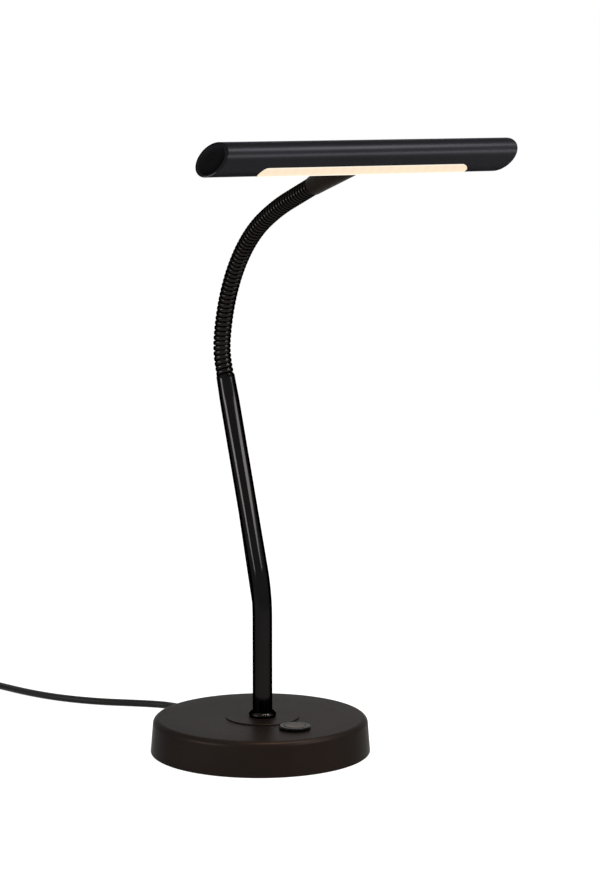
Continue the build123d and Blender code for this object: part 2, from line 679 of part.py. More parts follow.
# the ball's corners lie on its sphere, and the socket's sides touch its own from outside
BALL_POINTS = (
    (0, -HINGE_GAP - 1),
    (BALL_RADIUS * cos(pi / 12), -HINGE_GAP - 1),
    (BALL_RADIUS * cos(pi / 12), BALL_RADIUS * sin(pi / 12)),
    (BALL_RADIUS * cos(pi / 4), BALL_RADIUS * sin(pi / 4)),
    (BALL_RADIUS * cos(pi / 3), BALL_RADIUS * sin(pi / 3)),
    (0, BALL_RADIUS * sin(pi / 3)),
)
SOCKET_CORNER = SOCKET_RADIUS / cos(pi / 12)
SOCKET_POINTS = (
    (0, 0),
    (SOCKET_CORNER, 0),
    (SOCKET_CORNER * cos(pi / 6), SOCKET_CORNER * sin(pi / 6)),
    (SOCKET_RADIUS * (2**0.5 - 1), SOCKET_RADIUS),
    (0, SOCKET_RADIUS),
)
HOSE_ENDS = (0,) + HINGE_RIBS + (RIB_COUNT,)
HOSE_NAMES = ["hose_root"] + [f"hose_link_{n}" for n in range(1, len(HINGE_RIBS))] + ["hose_tip"]
for hose_name, first_rib, last_rib in zip(HOSE_NAMES, HOSE_ENDS[:-1], HOSE_ENDS[1:]):
    keep(hose_length(first_rib, last_rib), hose_name)


# ---------------------------------------------------------------- joint to the lamp tube

HOSE_END_BACK = NECK.length - RIB_COUNT * RIB_PITCH     # behind the lamp tube's axis

SLEEVE_POINTS = (
    (0, 0),
    (NECK_SLEEVE_RADIUS + HOSE_END_BACK * tan(radians(NECK_SLEEVE_FLARE)), 0),
    (NECK_SLEEVE_RADIUS, HOSE_END_BACK - NECK_SLEEVE_EDGE),
    (NECK_SLEEVE_RADIUS - NECK_SLEEVE_EDGE, HOSE_END_BACK),
    (0, HOSE_END_BACK),
)

# smooth sleeve over the hose's tip, its other end shaped to the lamp tube
with BuildPart() as neck_sleeve:
    add(turned_form(HEAD_CENTRE, BACK, SLEEVE_POINTS))
    with BuildSketch(back_plane(HOSE_END_BACK)):
        Circle(NECK_SLEEVE_BORE)
    extrude(amount=-NECK_SLEEVE_DEPTH, mode=Mode.SUBTRACT)
    with BuildSketch(back_plane(0)):
        Circle(HEAD_NIPPLE_RADIUS)
    extrude(amount=HOSE_END_BACK, mode=Mode.SUBTRACT)
    with BuildSketch(across_head(-20)):
        Circle(HEAD_RADIUS)
    extrude(amount=40, mode=Mode.SUBTRACT)
    with BuildSketch(GRUB_SCREW):
        Circle(GRUB_RADIUS)
    extrude(amount=2 * NECK_SLEEVE_RADIUS, mode=Mode.SUBTRACT)
keep(neck_sleeve.part, "neck_sleeve")

# set screw that grips the hose's tip
with BuildPart() as grub_screw:
    with BuildSketch(GRUB_SCREW.offset(TIP_SPIGOT_RADIUS)):
        Circle(GRUB_RADIUS)
        RegularPolygon(radius=GRUB_RADIUS / 2, side_count=6, mode=Mode.SUBTRACT)
    extrude(amount=GRUB_LENGTH)
keep(grub_screw.part, "grub_screw")

# hollow threaded tube, washer and nut that hold the sleeve against the lamp tube
with BuildPart() as head_nipple:
    with BuildSketch(back_plane(HEAD_NIPPLE_BACK)):
        Circle(HEAD_NIPPLE_RADIUS)
        Circle(HEAD_NIPPLE_RADIUS - HEAD_NIPPLE_WALL, mode=Mode.SUBTRACT)
    extrude(amount=HEAD_NIPPLE_LENGTH)
keep(head_nipple.part, "head_nipple")

with BuildPart() as saddle_washer:
    with BuildSketch(across_head(0)):
        Circle(HEAD_RADIUS - HEAD_WALL)
    extrude(amount=SADDLE_LENGTH / 2, both=True)
    split(bisect_by=back_plane(SADDLE_BACK), keep=Keep.TOP)
    with BuildSketch(back_plane(0)):
        Circle(HEAD_NIPPLE_RADIUS)
    extrude(amount=HEAD_RADIUS, mode=Mode.SUBTRACT)
keep(saddle_washer.part, "saddle_washer")

with BuildPart() as head_nut:
    with BuildSketch(back_plane(SADDLE_BACK)):
        RegularPolygon(radius=HEAD_NUT_APOTHEM, side_count=6, major_radius=False)
        Circle(HEAD_NIPPLE_RADIUS, mode=Mode.SUBTRACT)
    extrude(amount=-HEAD_NUT_HEIGHT)
keep(head_nut.part, "head_nut")


# ---------------------------------------------------------------- lamp tube

def between_obliques(low, high):
    """Trim the part being built to the stretch between two oblique planes."""
    split(bisect_by=oblique_plane(low), keep=Keep.TOP)
    split(bisect_by=oblique_plane(high), keep=Keep.BOTTOM)


TUBE_END = HEAD_HALF_LENGTH - CAP_FLANGE

# aluminium tube with slanted ends, the light slot and the hole for the neck
with BuildPart() as lamp_tube:
    with BuildSketch(across_head(0)):
        Circle(HEAD_RADIUS)
        Circle(HEAD_RADIUS - HEAD_WALL, mode=Mode.SUBTRACT)
    extrude(amount=HEAD_HALF_LENGTH + HEAD_RADIUS, both=True)
    between_obliques(-TUBE_END, TUBE_END)
    with BuildSketch(slot_plane(0)):
        SlotOverall(SLOT_LENGTH, SLOT_WIDTH)
    extrude(amount=HEAD_RADIUS + 1, mode=Mode.SUBTRACT)
    with BuildSketch(back_plane(0)):
        Circle(HEAD_NIPPLE_RADIUS)
    extrude(amount=HEAD_RADIUS + 1, mode=Mode.SUBTRACT)
keep(lamp_tube.part, "lamp_tube")

# moulded end caps: a flange flush with the tube and a hollow plug inside it
for side, cap_name in ((-1, "end_cap_left"), (1, "end_cap_right")):
    reach = side * HEAD_HALF_LENGTH - 2 * HEAD_RADIUS
    with BuildPart() as cap_plug:
        with BuildSketch(across_head(reach)):
            Circle(HEAD_RADIUS - HEAD_WALL)
            Circle(HEAD_RADIUS - HEAD_WALL - CAP_PLUG_WALL, mode=Mode.SUBTRACT)
        extrude(amount=4 * HEAD_RADIUS)
        between_obliques(*sorted((side * TUBE_END, side * (TUBE_END - CAP_PLUG))))
    with BuildPart() as end_cap:
        with BuildSketch(across_head(reach)):
            Circle(HEAD_RADIUS)
        extrude(amount=4 * HEAD_RADIUS)
        between_obliques(*sorted((side * HEAD_HALF_LENGTH, side * TUBE_END)))
        outer_face = end_cap.faces().sort_by(Axis.X)[-1 if side > 0 else 0]
        chamfer(outer_face.edges(), CAP_EDGE)
        add(cap_plug.part)
    keep(end_cap.part, cap_name)

# opal window: it fills the slot, and a lip behind the tube's wall holds it
with BuildPart() as diffuser_lip:
    with BuildSketch(slot_plane(0)):
        SlotOverall(SLOT_LENGTH + 2 * DIFFUSER_LIP, SLOT_WIDTH + 2 * DIFFUSER_LIP)
    extrude(amount=HEAD_RADIUS)
    with BuildSketch(across_head(-SLOT_LENGTH)):
        Circle(HEAD_RADIUS - HEAD_WALL)
    extrude(amount=2 * SLOT_LENGTH, mode=Mode.INTERSECT)
with BuildPart() as diffuser:
    with BuildSketch(slot_plane(0)):
        SlotOverall(SLOT_LENGTH - 2 * DIFFUSER_GAP, SLOT_WIDTH - 2 * DIFFUSER_GAP)
    extrude(amount=HEAD_RADIUS + 2)
    with BuildSketch(across_head(-SLOT_LENGTH)):
        Circle(HEAD_RADIUS + DIFFUSER_PROUD)
    extrude(amount=2 * SLOT_LENGTH, mode=Mode.INTERSECT)
    add(diffuser_lip.part)
    with BuildSketch(across_head(-SLOT_LENGTH)):
        Circle(HEAD_RADIUS - HEAD_WALL - DIFFUSER_LIP_DEPTH)
    extrude(amount=2 * SLOT_LENGTH, mode=Mode.SUBTRACT)
keep(diffuser.part, "diffuser")

# aluminium strip that carries the light board and spreads its heat, cleared for the nut
with BuildPart() as led_carrier:
    with BuildSketch(slot_plane(0)):
        Rectangle(SLOT_LENGTH, CARRIER_WIDTH)
    extrude(amount=CARRIER_THICKNESS)
    with BuildSketch(back_plane(CARRIER_CUTOUT_BACK)):
        Rectangle(CARRIER_CUTOUT, CARRIER_CUTOUT)
    extrude(amount=CARRIER_CUTOUT_DEPTH, mode=Mode.SUBTRACT)
keep(led_carrier.part, "led_carrier")

with BuildPart() as led_board:
    with BuildSketch(slot_plane(CARRIER_THICKNESS)):
        Rectangle(LED_COUNT * LED_PITCH, LED_BOARD_WIDTH)
    extrude(amount=LED_BOARD_THICKNESS)
keep(led_board.part, "led_board")

with BuildPart() as led_chips:
    with BuildSketch(slot_plane(CARRIER_THICKNESS + LED_BOARD_THICKNESS)):
        with GridLocations(LED_PITCH, 0, LED_COUNT, 1):
            Rectangle(LED_LENGTH, LED_WIDTH)
    extrude(amount=LED_HEIGHT)
keep(led_chips.part, "led_chips")


# ---------------------------------------------------------------- mains lead

# rubber strain relief, held in the cover's wall and tapering along the lead
with BuildPart() as strain_relief:
    with BuildSketch(Plane(GLAND.origin, x_dir=(0, 1, 0), z_dir=(1, 0, 0))):
        with BuildLine():
            Polyline(
                (-RELIEF_INSIDE, 0),
                (-RELIEF_INSIDE, RELIEF_RADIUS),
                (0.4, RELIEF_RADIUS),
                (0.4, RELIEF_RADIUS + RELIEF_FLANGE),
                (2.4, RELIEF_RADIUS + RELIEF_FLANGE),
                (3.4, RELIEF_RADIUS + 0.3),
                (RELIEF_TIP - BASE_RADIUS, LEAD_RADIUS + RELIEF_WALL),
                (RELIEF_TIP - BASE_RADIUS, 0),
                close=True,
            )
        make_face()
    revolve(axis=Axis(GLAND.origin, (0, 1, 0)))
keep(strain_relief.part, "strain_relief")

# the lead drops to the table behind the base and swings out to the left
LEAD_ROUTE = (
    (0, RELIEF_TIP, GLAND_HEIGHT),
    (0, 129, GLAND_HEIGHT),
    (6, 148, 4.4),
    (2, 169, LEAD_RADIUS),
    (-14, 185, LEAD_RADIUS),
    (-41, 207, LEAD_RADIUS),
    (-64, 236, LEAD_RADIUS),
    (-80, 270, LEAD_RADIUS),
    (-91, 309, LEAD_RADIUS),
    (-103, 348, LEAD_RADIUS),
)
# from the coil's top turn down to the plug
PLUG_AXIS_Z = PLUG_THICKNESS / 2
TAIL_ROUTE = (
    (COIL_CENTRE[0] - 42, COIL_CENTRE[1], 8.3),
    (-189, 320, 9.1),
    (PLUG_X, PLUG_BODY_Y + PLUG_RELIEF + 16, PLUG_AXIS_Z),
    (PLUG_X, PLUG_BODY_Y + PLUG_RELIEF, PLUG_AXIS_Z),
)


def lead_stretch(route, name):
    """A round lead along straight runs joined by the widest arcs that fit."""
    points = [Vector(*point) for point in route]
    radii = []
    for before, here, after in zip(points, points[1:], points[2:]):
        turn = (here - before).get_angle(after - here)
        shorter = min((here - before).length, (after - here).length)
        radii.append(0.45 * shorter / tan(radians(turn / 2)))
    print(name, "arc radii", [round(radius, 1) for radius in radii])
    with BuildPart() as lead:
        with BuildLine() as centre_line:
            FilletPolyline(*points, radius=radii)
        with BuildSketch(Plane(origin=centre_line.wire() @ 0, z_dir=centre_line.wire() % 0)):
            Circle(LEAD_RADIUS)
        sweep(path=centre_line.wire())
    expected = centre_line.wire().length * pi * LEAD_RADIUS**2
    print(name, "length", round(centre_line.wire().length, 1), "volume ratio",
          round(lead.part.volume / expected, 4))
    return lead.part


keep(lead_stretch(LEAD_ROUTE, "mains_lead"), "mains_lead")
keep(lead_stretch(TAIL_ROUTE, "plug_lead"), "plug_lead")

# the outer shape of the coiled rest of the lead
with BuildPart() as lead_coil:
    with BuildSketch(Plane((*COIL_CENTRE, 0), x_dir=(1, 0, 0), z_dir=(0, -1, 0))) as coil_section:
        with Locations((COIL_TURN_RADIUS, COIL_HEIGHT / 2)):
            Rectangle(2 * COIL_HALF_WIDTH, COIL_HEIGHT)
        chamfer(coil_section.vertices(), LEAD_RADIUS)
    revolve(axis=Axis((*COIL_CENTRE, 0), (0, 0, 1)))
keep(lead_coil.part, "lead_coil")


# ---------------------------------------------------------------- plug

# flat two-pin body with a moulded strain relief
with BuildPart() as plug_body:
    with BuildSketch() as plug_outline:
        with BuildLine():
            Polyline(
                (PLUG_X - PLUG_NOSE, PLUG_BODY_Y),
                (PLUG_X + PLUG_NOSE, PLUG_BODY_Y),
                (PLUG_X + PLUG_HALF_WIDTH, PLUG_BODY_Y - PLUG_SHOULDER),
                (PLUG_X + PLUG_HALF_WIDTH, PLUG_BODY_Y - PLUG_LENGTH),
                (PLUG_X - PLUG_HALF_WIDTH, PLUG_BODY_Y - PLUG_LENGTH),
                (PLUG_X - PLUG_HALF_WIDTH, PLUG_BODY_Y - PLUG_SHOULDER),
                close=True,
            )
        make_face()
        fillet(plug_outline.vertices(), PLUG_CORNER)
    extrude(amount=PLUG_THICKNESS)
    chamfer(plug_body.edges().filter_by(Axis.Z, reverse=True), PLUG_EDGE)
    with BuildSketch(Plane((PLUG_X, PLUG_BODY_Y - 3, PLUG_AXIS_Z), x_dir=(1, 0, 0), z_dir=(0, 1, 0))):
        Circle(PLUG_RELIEF_RADIUS)
    extrude(amount=PLUG_RELIEF + 3, taper=PLUG_RELIEF_TAPER)
keep(plug_body.part, "plug_body")

PLUG_FACE = Plane((PLUG_X, PLUG_BODY_Y - PLUG_LENGTH, PLUG_AXIS_Z), x_dir=(1, 0, 0), z_dir=(0, -1, 0))
with BuildPart() as plug_pins:
    with BuildSketch(PLUG_FACE):
        with GridLocations(PIN_SPACING, 0, 2, 1):
            Circle(PIN_RADIUS)
    extrude(amount=PIN_LENGTH)
    chamfer(plug_pins.edges().group_by(Axis.Y)[0], PIN_TIP)
keep(plug_pins.part, "plug_pins")
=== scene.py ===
from math import asin, cos, degrees, pi, radians, sin, sqrt, tan

import bmesh
import bpy
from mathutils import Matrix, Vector


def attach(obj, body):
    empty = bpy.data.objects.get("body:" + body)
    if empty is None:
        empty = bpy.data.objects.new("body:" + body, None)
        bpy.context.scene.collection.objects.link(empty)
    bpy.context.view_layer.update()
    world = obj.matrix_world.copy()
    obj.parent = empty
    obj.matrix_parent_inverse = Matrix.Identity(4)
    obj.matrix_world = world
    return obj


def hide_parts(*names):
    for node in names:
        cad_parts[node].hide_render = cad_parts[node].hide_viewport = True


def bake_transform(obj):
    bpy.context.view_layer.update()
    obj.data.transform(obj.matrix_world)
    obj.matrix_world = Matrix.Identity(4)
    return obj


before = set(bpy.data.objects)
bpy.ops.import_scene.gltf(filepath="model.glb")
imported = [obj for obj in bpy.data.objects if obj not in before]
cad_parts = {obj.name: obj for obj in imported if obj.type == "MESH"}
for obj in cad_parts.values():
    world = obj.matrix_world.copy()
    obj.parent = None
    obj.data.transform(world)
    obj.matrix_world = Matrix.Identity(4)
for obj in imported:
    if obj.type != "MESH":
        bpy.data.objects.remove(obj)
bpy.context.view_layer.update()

# Piano lamp, in metres. The origin is the centre of the foot pad's underside, +X runs along the
# lamp tube, -Y is the side that the lamp reaches over, and +Z is up.


# ---------------------------------------------------------------- camera
# A long lens to the lamp's front left, at the height of the lamp tube and looking slightly down,
# so that the window in the tube's underside and the base's top are both seen.

CAMERA_PLACE = (-1.0549, -1.8707, 0.5448)
CAMERA_LOOK = Vector((0.4995, 0.856, -0.1334))
CAMERA_LENS = 113.42        # mm, on a 36 mm sensor

camera_data = bpy.data.cameras.new("camera")
camera_data.lens = CAMERA_LENS
camera_data.sensor_width = 36
camera_data.clip_start = 0.05
camera = bpy.data.objects.new("camera", camera_data)
camera.location = CAMERA_PLACE
camera.rotation_euler = CAMERA_LOOK.to_track_quat("-Z", "Y").to_euler()
bpy.context.scene.collection.objects.link(camera)
bpy.context.scene.camera = camera


# ---------------------------------------------------------------- mains lead
# Round two-core lead, 6 mm across, sheathed in satin black PVC. It drops to the table behind the
# base and swings out to the left, where the spare length lies coiled with the plug beside it.

LEAD_RADIUS = 0.003
GLAND_HEIGHT = 0.009
RELIEF_TIP = 0.112          # the strain relief's end, behind the base's centre
LEAD_ROUTE = (
    (0.0, RELIEF_TIP, GLAND_HEIGHT),
    (0.0, 0.129, GLAND_HEIGHT),
    (0.006, 0.148, 0.0044),
    (0.002, 0.169, LEAD_RADIUS),
    (-0.014, 0.185, LEAD_RADIUS),
    (-0.041, 0.207, LEAD_RADIUS),
    (-0.064, 0.236, LEAD_RADIUS),
    (-0.080, 0.270, LEAD_RADIUS),
    (-0.091, 0.309, LEAD_RADIUS),
)
COIL_CENTRE = (-0.1465, 0.3366)
COIL_START = radians(14.7)  # where the lead joins its outermost turn, from +X
TURN_RADII = (0.045, 0.039, 0.033, 0.027, 0.030, 0.036, 0.042)
TURNS_BELOW = 4             # the rest are nested in the grooves between these
TURNS = 6.46
TURN_POINTS = 16
STEP_IN = 0.8               # the share of a turn after which it steps to the next radius
CLIMB = radians(120)        # how far the innermost turn rolls over the one beside it
UPPER_HEIGHT = 0.0082
CROSSING_LIFT = 0.0009      # an upper turn rides over the lower ones where they step inwards
TAIL_ROUTE = (
    (-0.189, 0.320, 0.0091),
    (-0.190, 0.304, 0.00685),
    (-0.190, 0.288, 0.00685),
)


def ease(value, start, end):
    """0 before start, 1 after end, and a smooth rise between them."""
    share = min(max((value - start) / (end - start), 0), 1)
    return share * share * (3 - 2 * share)


def coil_point(turns):
    """The lead's centre after so many turns: four inwards on the table, then outwards on top."""
    ring = int(turns)
    share = turns - ring
    step = ease(share, STEP_IN, 1)
    radius = TURN_RADII[ring]
    height = LEAD_RADIUS
    if ring == TURNS_BELOW - 1:
        # the innermost turn climbs over the one that steps in beside it
        tilt = CLIMB * min(max((share - STEP_IN) / (1 - STEP_IN), 0), 1)
        beside = TURN_RADII[ring - 1] + (radius - TURN_RADII[ring - 1]) * step
        radius = beside - 2 * LEAD_RADIUS * cos(tilt)
        height = LEAD_RADIUS + 2 * LEAD_RADIUS * sin(tilt)
    else:
        if ring + 1 < len(TURN_RADII):
            radius += (TURN_RADII[ring + 1] - radius) * step
        if ring >= TURNS_BELOW:
            crossing = ease(share, 0.68, 0.82) + 1 - ease(share, 0, 0.12)
            height = UPPER_HEIGHT + CROSSING_LIFT * crossing
    angle = COIL_START + 2 * pi * turns
    across = radius / ((3 + cos(2 * pi / TURN_POINTS)) / 4)
    return COIL_CENTRE[0] + across * cos(angle), COIL_CENTRE[1] + across * sin(angle), height


coil_steps = int(TURNS * TURN_POINTS)
coil_route = [coil_point(step / TURN_POINTS) for step in range(coil_steps + 1)]
lead_route = list(LEAD_ROUTE) + coil_route + list(TAIL_ROUTE)

lead_curve = bpy.data.curves.new("mains_lead_sheath", "CURVE")
lead_curve.dimensions = "3D"
lead_curve.bevel_depth = LEAD_RADIUS
lead_curve.bevel_resolution = 5
lead_curve.resolution_u = 8
lead_curve.use_fill_caps = True
lead_line = lead_curve.splines.new("NURBS")
lead_line.points.add(len(lead_route) - 1)
for point, place in zip(lead_line.points, lead_route):
    point.co = (*place, 1)
lead_line.order_u = 3
lead_line.use_endpoint_u = True
lead = bpy.data.objects.new("mains_lead_sheath", lead_curve)
bpy.context.scene.collection.objects.link(lead)


class Amount:
    """A number that varies over a surface or along a curve; operators on it add Math nodes."""

    def __init__(self, nodes, socket):
        self.nodes = nodes
        self.socket = socket

    def maths(self, operation, first, second=0.0):
        node = self.nodes.node("ShaderNodeMath", {"operation": operation}, {0: first, 1: second})
        return Amount(self.nodes, node.outputs[0])

    def __add__(self, other):
        return self.maths("ADD", self, other)

    def __radd__(self, other):
        return self.maths("ADD", other, self)

    def __sub__(self, other):
        return self.maths("SUBTRACT", self, other)

    def __rsub__(self, other):
        return self.maths("SUBTRACT", other, self)

    def __mul__(self, other):
        return self.maths("MULTIPLY", self, other)

    def __rmul__(self, other):
        return self.maths("MULTIPLY", other, self)

    def __truediv__(self, other):
        return self.maths("DIVIDE", self, other)

    def __rtruediv__(self, other):
        return self.maths("DIVIDE", other, self)

    def __pow__(self, other):
        return self.maths("POWER", self, other)

    def sine(self):
        return self.maths("SINE", self)

    def cosine(self):
        return self.maths("COSINE", self)

    def above(self, level):
        return self.maths("GREATER_THAN", self, level)

    def larger(self, other):
        return self.maths("MAXIMUM", self, other)

    def smaller(self, other):
        return self.maths("MINIMUM", self, other)


class Nodes:
    """A node tree in the making. node() adds one node, its settings first and then its sockets."""

    def __init__(self, tree):
        self.tree = tree
        self.tree.nodes.clear()

    def node(self, kind, settings=None, sockets=None):
        node = self.tree.nodes.new(kind)
        for name, value in (settings or {}).items():
            setattr(node, name, value)
        for name, value in (sockets or {}).items():
            if isinstance(value, Amount):
                value = value.socket
            if isinstance(value, bpy.types.NodeSocket):
                self.tree.links.new(value, node.inputs[name])
            else:
                node.inputs[name].default_value = value
        return node


class Finish(Nodes):
    """A procedural material, patterned in the object's own coordinates."""

    def __init__(self, name):
        self.material = bpy.data.materials.new(name)
        self.material.use_nodes = True
        super().__init__(self.material.node_tree)
        self.place = self.node("ShaderNodeTexCoord").outputs["Object"]

    def noise(self, scale, detail=2.0, roughness=0.5, place=None):
        """Cloudy noise from 0 to 1, with so many clouds to the metre."""
        sockets = {"Vector": place or self.place, "Scale": scale}
        sockets |= {"Detail": detail, "Roughness": roughness}
        return Amount(self, self.node("ShaderNodeTexNoise", {}, sockets).outputs["Fac"])

    def along(self, axis):
        """The place on the surface along X, Y or Z, in metres."""
        parts = self.node("ShaderNodeSeparateXYZ", {}, {0: self.place})
        return Amount(self, parts.outputs[axis])

    def between(self, share, first, second):
        """A colour that goes from first to second with share."""
        node = self.node("ShaderNodeMix", {"data_type": "RGBA"}, {0: share, 6: first, 7: second})
        return node.outputs[2]

    def relief(self, height, depth):
        """The normal of a surface raised by height, from 0 to 1, times depth in metres."""
        sockets = {"Height": height, "Distance": depth, "Strength": 1.0}
        return self.node("ShaderNodeBump", {}, sockets).outputs["Normal"]

    def done(self, **sockets):
        """Close the tree with a Principled surface whose sockets are given as words_with_bars."""
        named = {name.replace("_", " "): value for name, value in sockets.items()}
        surface = self.node("ShaderNodeBsdfPrincipled", {}, named)
        self.node("ShaderNodeOutputMaterial", {}, {"Surface": surface.outputs[0]})
        return self.material


def tint(red, green, blue):
    """A colour given on the usual 0 to 255 scale, as the linear one that a shader takes."""
    steps = [level / 255 for level in (red, green, blue)]
    return [s / 12.92 if s < 0.04045 else ((s + 0.055) / 1.055) ** 2.4 for s in steps] + [1.0]


def sheath_finish(name, dark, light):
    """Extruded PVC: satin, with faint lengthwise waviness and a little dust."""
    finish = Finish(name)
    waviness = finish.noise(260, 3)
    dust = finish.noise(40, 4)
    return finish.done(
        Base_Color=finish.between(dust, dark, light),
        Roughness=0.36 + 0.14 * waviness,
        Normal=finish.relief(waviness, 0.00008),
        **{"Specular IOR Level": 0.12},
    )


black_sheath = sheath_finish("lead_sheath", tint(12, 12, 12), tint(20, 19, 19))
lead_curve.materials.append(black_sheath)
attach(lead, "base")
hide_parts("mains_lead", "plug_lead", "lead_coil")


# ---------------------------------------------------------------- strain relief
# Ribbed rubber boot that is held in the cover's rear wall and tapers along the lead, so that the
# lead can't kink where it comes out. Its flange sits against the wall.

BASE_RADIUS = 0.088
RELIEF_RADIUS = 0.0049
RELIEF_INSIDE = 0.008
RELIEF_FLANGE = 0.0066
RELIEF_FIRST_RIB = 0.0044
RELIEF_LIP = 0.0007         # of rubber around the lead at the tip
RELIEF_TIP_LENGTH = 0.0012
RELIEF_RIBS = 6
RIB_SHAPE = ((0, 0), (0.44, 0), (0.52, 0.5), (0.62, 1), (0.86, 1), (0.94, 0.5))
RIB_GROOVE = 0.0006
ROUND_SIDES = 48
SAME_PLACE = 1e-7           # points nearer than this are one


def skin_rings(rings, looped):
    """A bmesh skinned over rings of points. Its two ends are joined if it is looped, or faced."""
    form = bmesh.new()
    rows = [[form.verts.new(point) for point in ring] for ring in rings]
    pairs = list(zip(rows, rows[1:]))
    if looped:
        pairs.append((rows[-1], rows[0]))
    else:
        form.faces.new(list(reversed(rows[0])))
        form.faces.new(rows[-1])
    for low, high in pairs:
        for corners in zip(low, low[1:] + low[:1], high[1:] + high[:1], high):
            form.faces.new(corners)
    bmesh.ops.remove_doubles(form, verts=form.verts, dist=SAME_PLACE)
    bmesh.ops.recalc_face_normals(form, faces=form.faces)
    return form


def make_piece(name, form, material, crease=32):
    """An object from a bmesh, smooth apart from edges sharper than crease degrees."""
    mesh = bpy.data.meshes.new(name)
    form.to_mesh(mesh)
    form.free()
    return piece_from_mesh(name, mesh, material, crease)


def piece_from_mesh(name, mesh, material, crease):
    """The same from a mesh."""
    mesh.materials.clear()
    mesh.materials.append(material)
    mesh.polygons.foreach_set("use_smooth", [True] * len(mesh.polygons))
    mesh.set_sharp_from_angle(angle=radians(crease))
    piece = bpy.data.objects.new(name, mesh)
    bpy.context.scene.collection.objects.link(piece)
    return piece


def turned_rings(profile, origin, axis, sides):
    """Rings of points about an axis, from a profile of (radius, height) pairs."""
    axis = Vector(axis).normalized()
    first = axis.orthogonal().normalized()
    second = axis.cross(first)
    origin = Vector(origin)
    angles = [2 * pi * side / sides for side in range(sides)]
    return [
        [origin + axis * height + (first * cos(a) + second * sin(a)) * radius for a in angles]
        for radius, height in profile
    ]


def turned_piece(name, profile, origin, axis, sides, material, crease=32):
    """A hollow piece turned about an axis from a profile that ends where it starts."""
    rings = turned_rings(profile, origin, axis, sides)
    return make_piece(name, skin_rings(rings, looped=True), material, crease)


def relief_profile():
    """Radius and place along the lead of the boot, from its inner end to its tip."""
    tip = RELIEF_TIP - BASE_RADIUS
    tip_radius = LEAD_RADIUS + RELIEF_LIP
    ribs_end = tip - RELIEF_TIP_LENGTH
    profile = [
        (LEAD_RADIUS, -RELIEF_INSIDE),
        (RELIEF_RADIUS, -RELIEF_INSIDE),
        (RELIEF_RADIUS, 0.0001),
        (RELIEF_FLANGE - 0.0004, 0.0002),
        (RELIEF_FLANGE, 0.0008),
        (RELIEF_FLANGE - 0.0003, 0.0019),
        (RELIEF_RADIUS + 0.0006, 0.0026),
        (RELIEF_RADIUS + 0.0001, 0.0034),
    ]
    pitch = (ribs_end - RELIEF_FIRST_RIB) / RELIEF_RIBS
    for rib in range(RELIEF_RIBS):
        for share, drop in RIB_SHAPE:
            place = RELIEF_FIRST_RIB + pitch * (rib + share)
            taper = RELIEF_RADIUS + (tip_radius - RELIEF_RADIUS) * place / tip
            profile.append((taper - RIB_GROOVE * drop, place))
    profile += [(tip_radius, ribs_end), (tip_radius - 0.0002, tip - 0.0002), (LEAD_RADIUS, tip)]
    return profile


def rubber_finish():
    """Moulded soft rubber: matt black with a fine spark-eroded grain."""
    finish = Finish("moulded_rubber")
    grain = finish.noise(2600, 2)
    bloom = finish.noise(55, 3)
    return finish.done(
        Base_Color=finish.between(bloom, tint(17, 16, 16), tint(27, 26, 26)),
        Roughness=0.55 + 0.15 * grain,
        Normal=finish.relief(grain, 0.00002),
        **{"Specular IOR Level": 0.35},
    )


rubber = rubber_finish()
gland = (0, BASE_RADIUS, GLAND_HEIGHT)
backwards = (0, 1, 0)
boot = relief_profile()
relief = turned_piece("strain_relief_boot", boot, gland, backwards, ROUND_SIDES, rubber, 50)
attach(relief, "base")
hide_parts("strain_relief")


# ---------------------------------------------------------------- plug
# Flat two-pin plug, moulded onto the lead's end in one piece with its own ribbed relief. The
# nickel-plated pins are sleeved in plastic along their first half.

PLUG_X = -0.190
PLUG_REAR = 0.260           # the body's end on the lead's side
PLUG_LENGTH = 0.036
PLUG_HALF_WIDTH = 0.0176
PLUG_WAIST = 0.0062
PLUG_THICKNESS = 0.0137
PLUG_SHOULDER = 0.014       # from the body's rear end to its full width
PLUG_FRONT = PLUG_REAR - PLUG_LENGTH
PLUG_EDGE = 0.001           # rounding of the pin face
PLUG_RELIEF = 0.028
PLUG_RELIEF_RADIUS = 0.0054
PLUG_TIP_RADIUS = LEAD_RADIUS + 0.0008
PLUG_RIBS = 7
PLUG_RIB_HALF = 0.0006      # half of a rib's length, and of a groove's
PIN_SLEEVE_END = PLUG_FRONT - 0.010


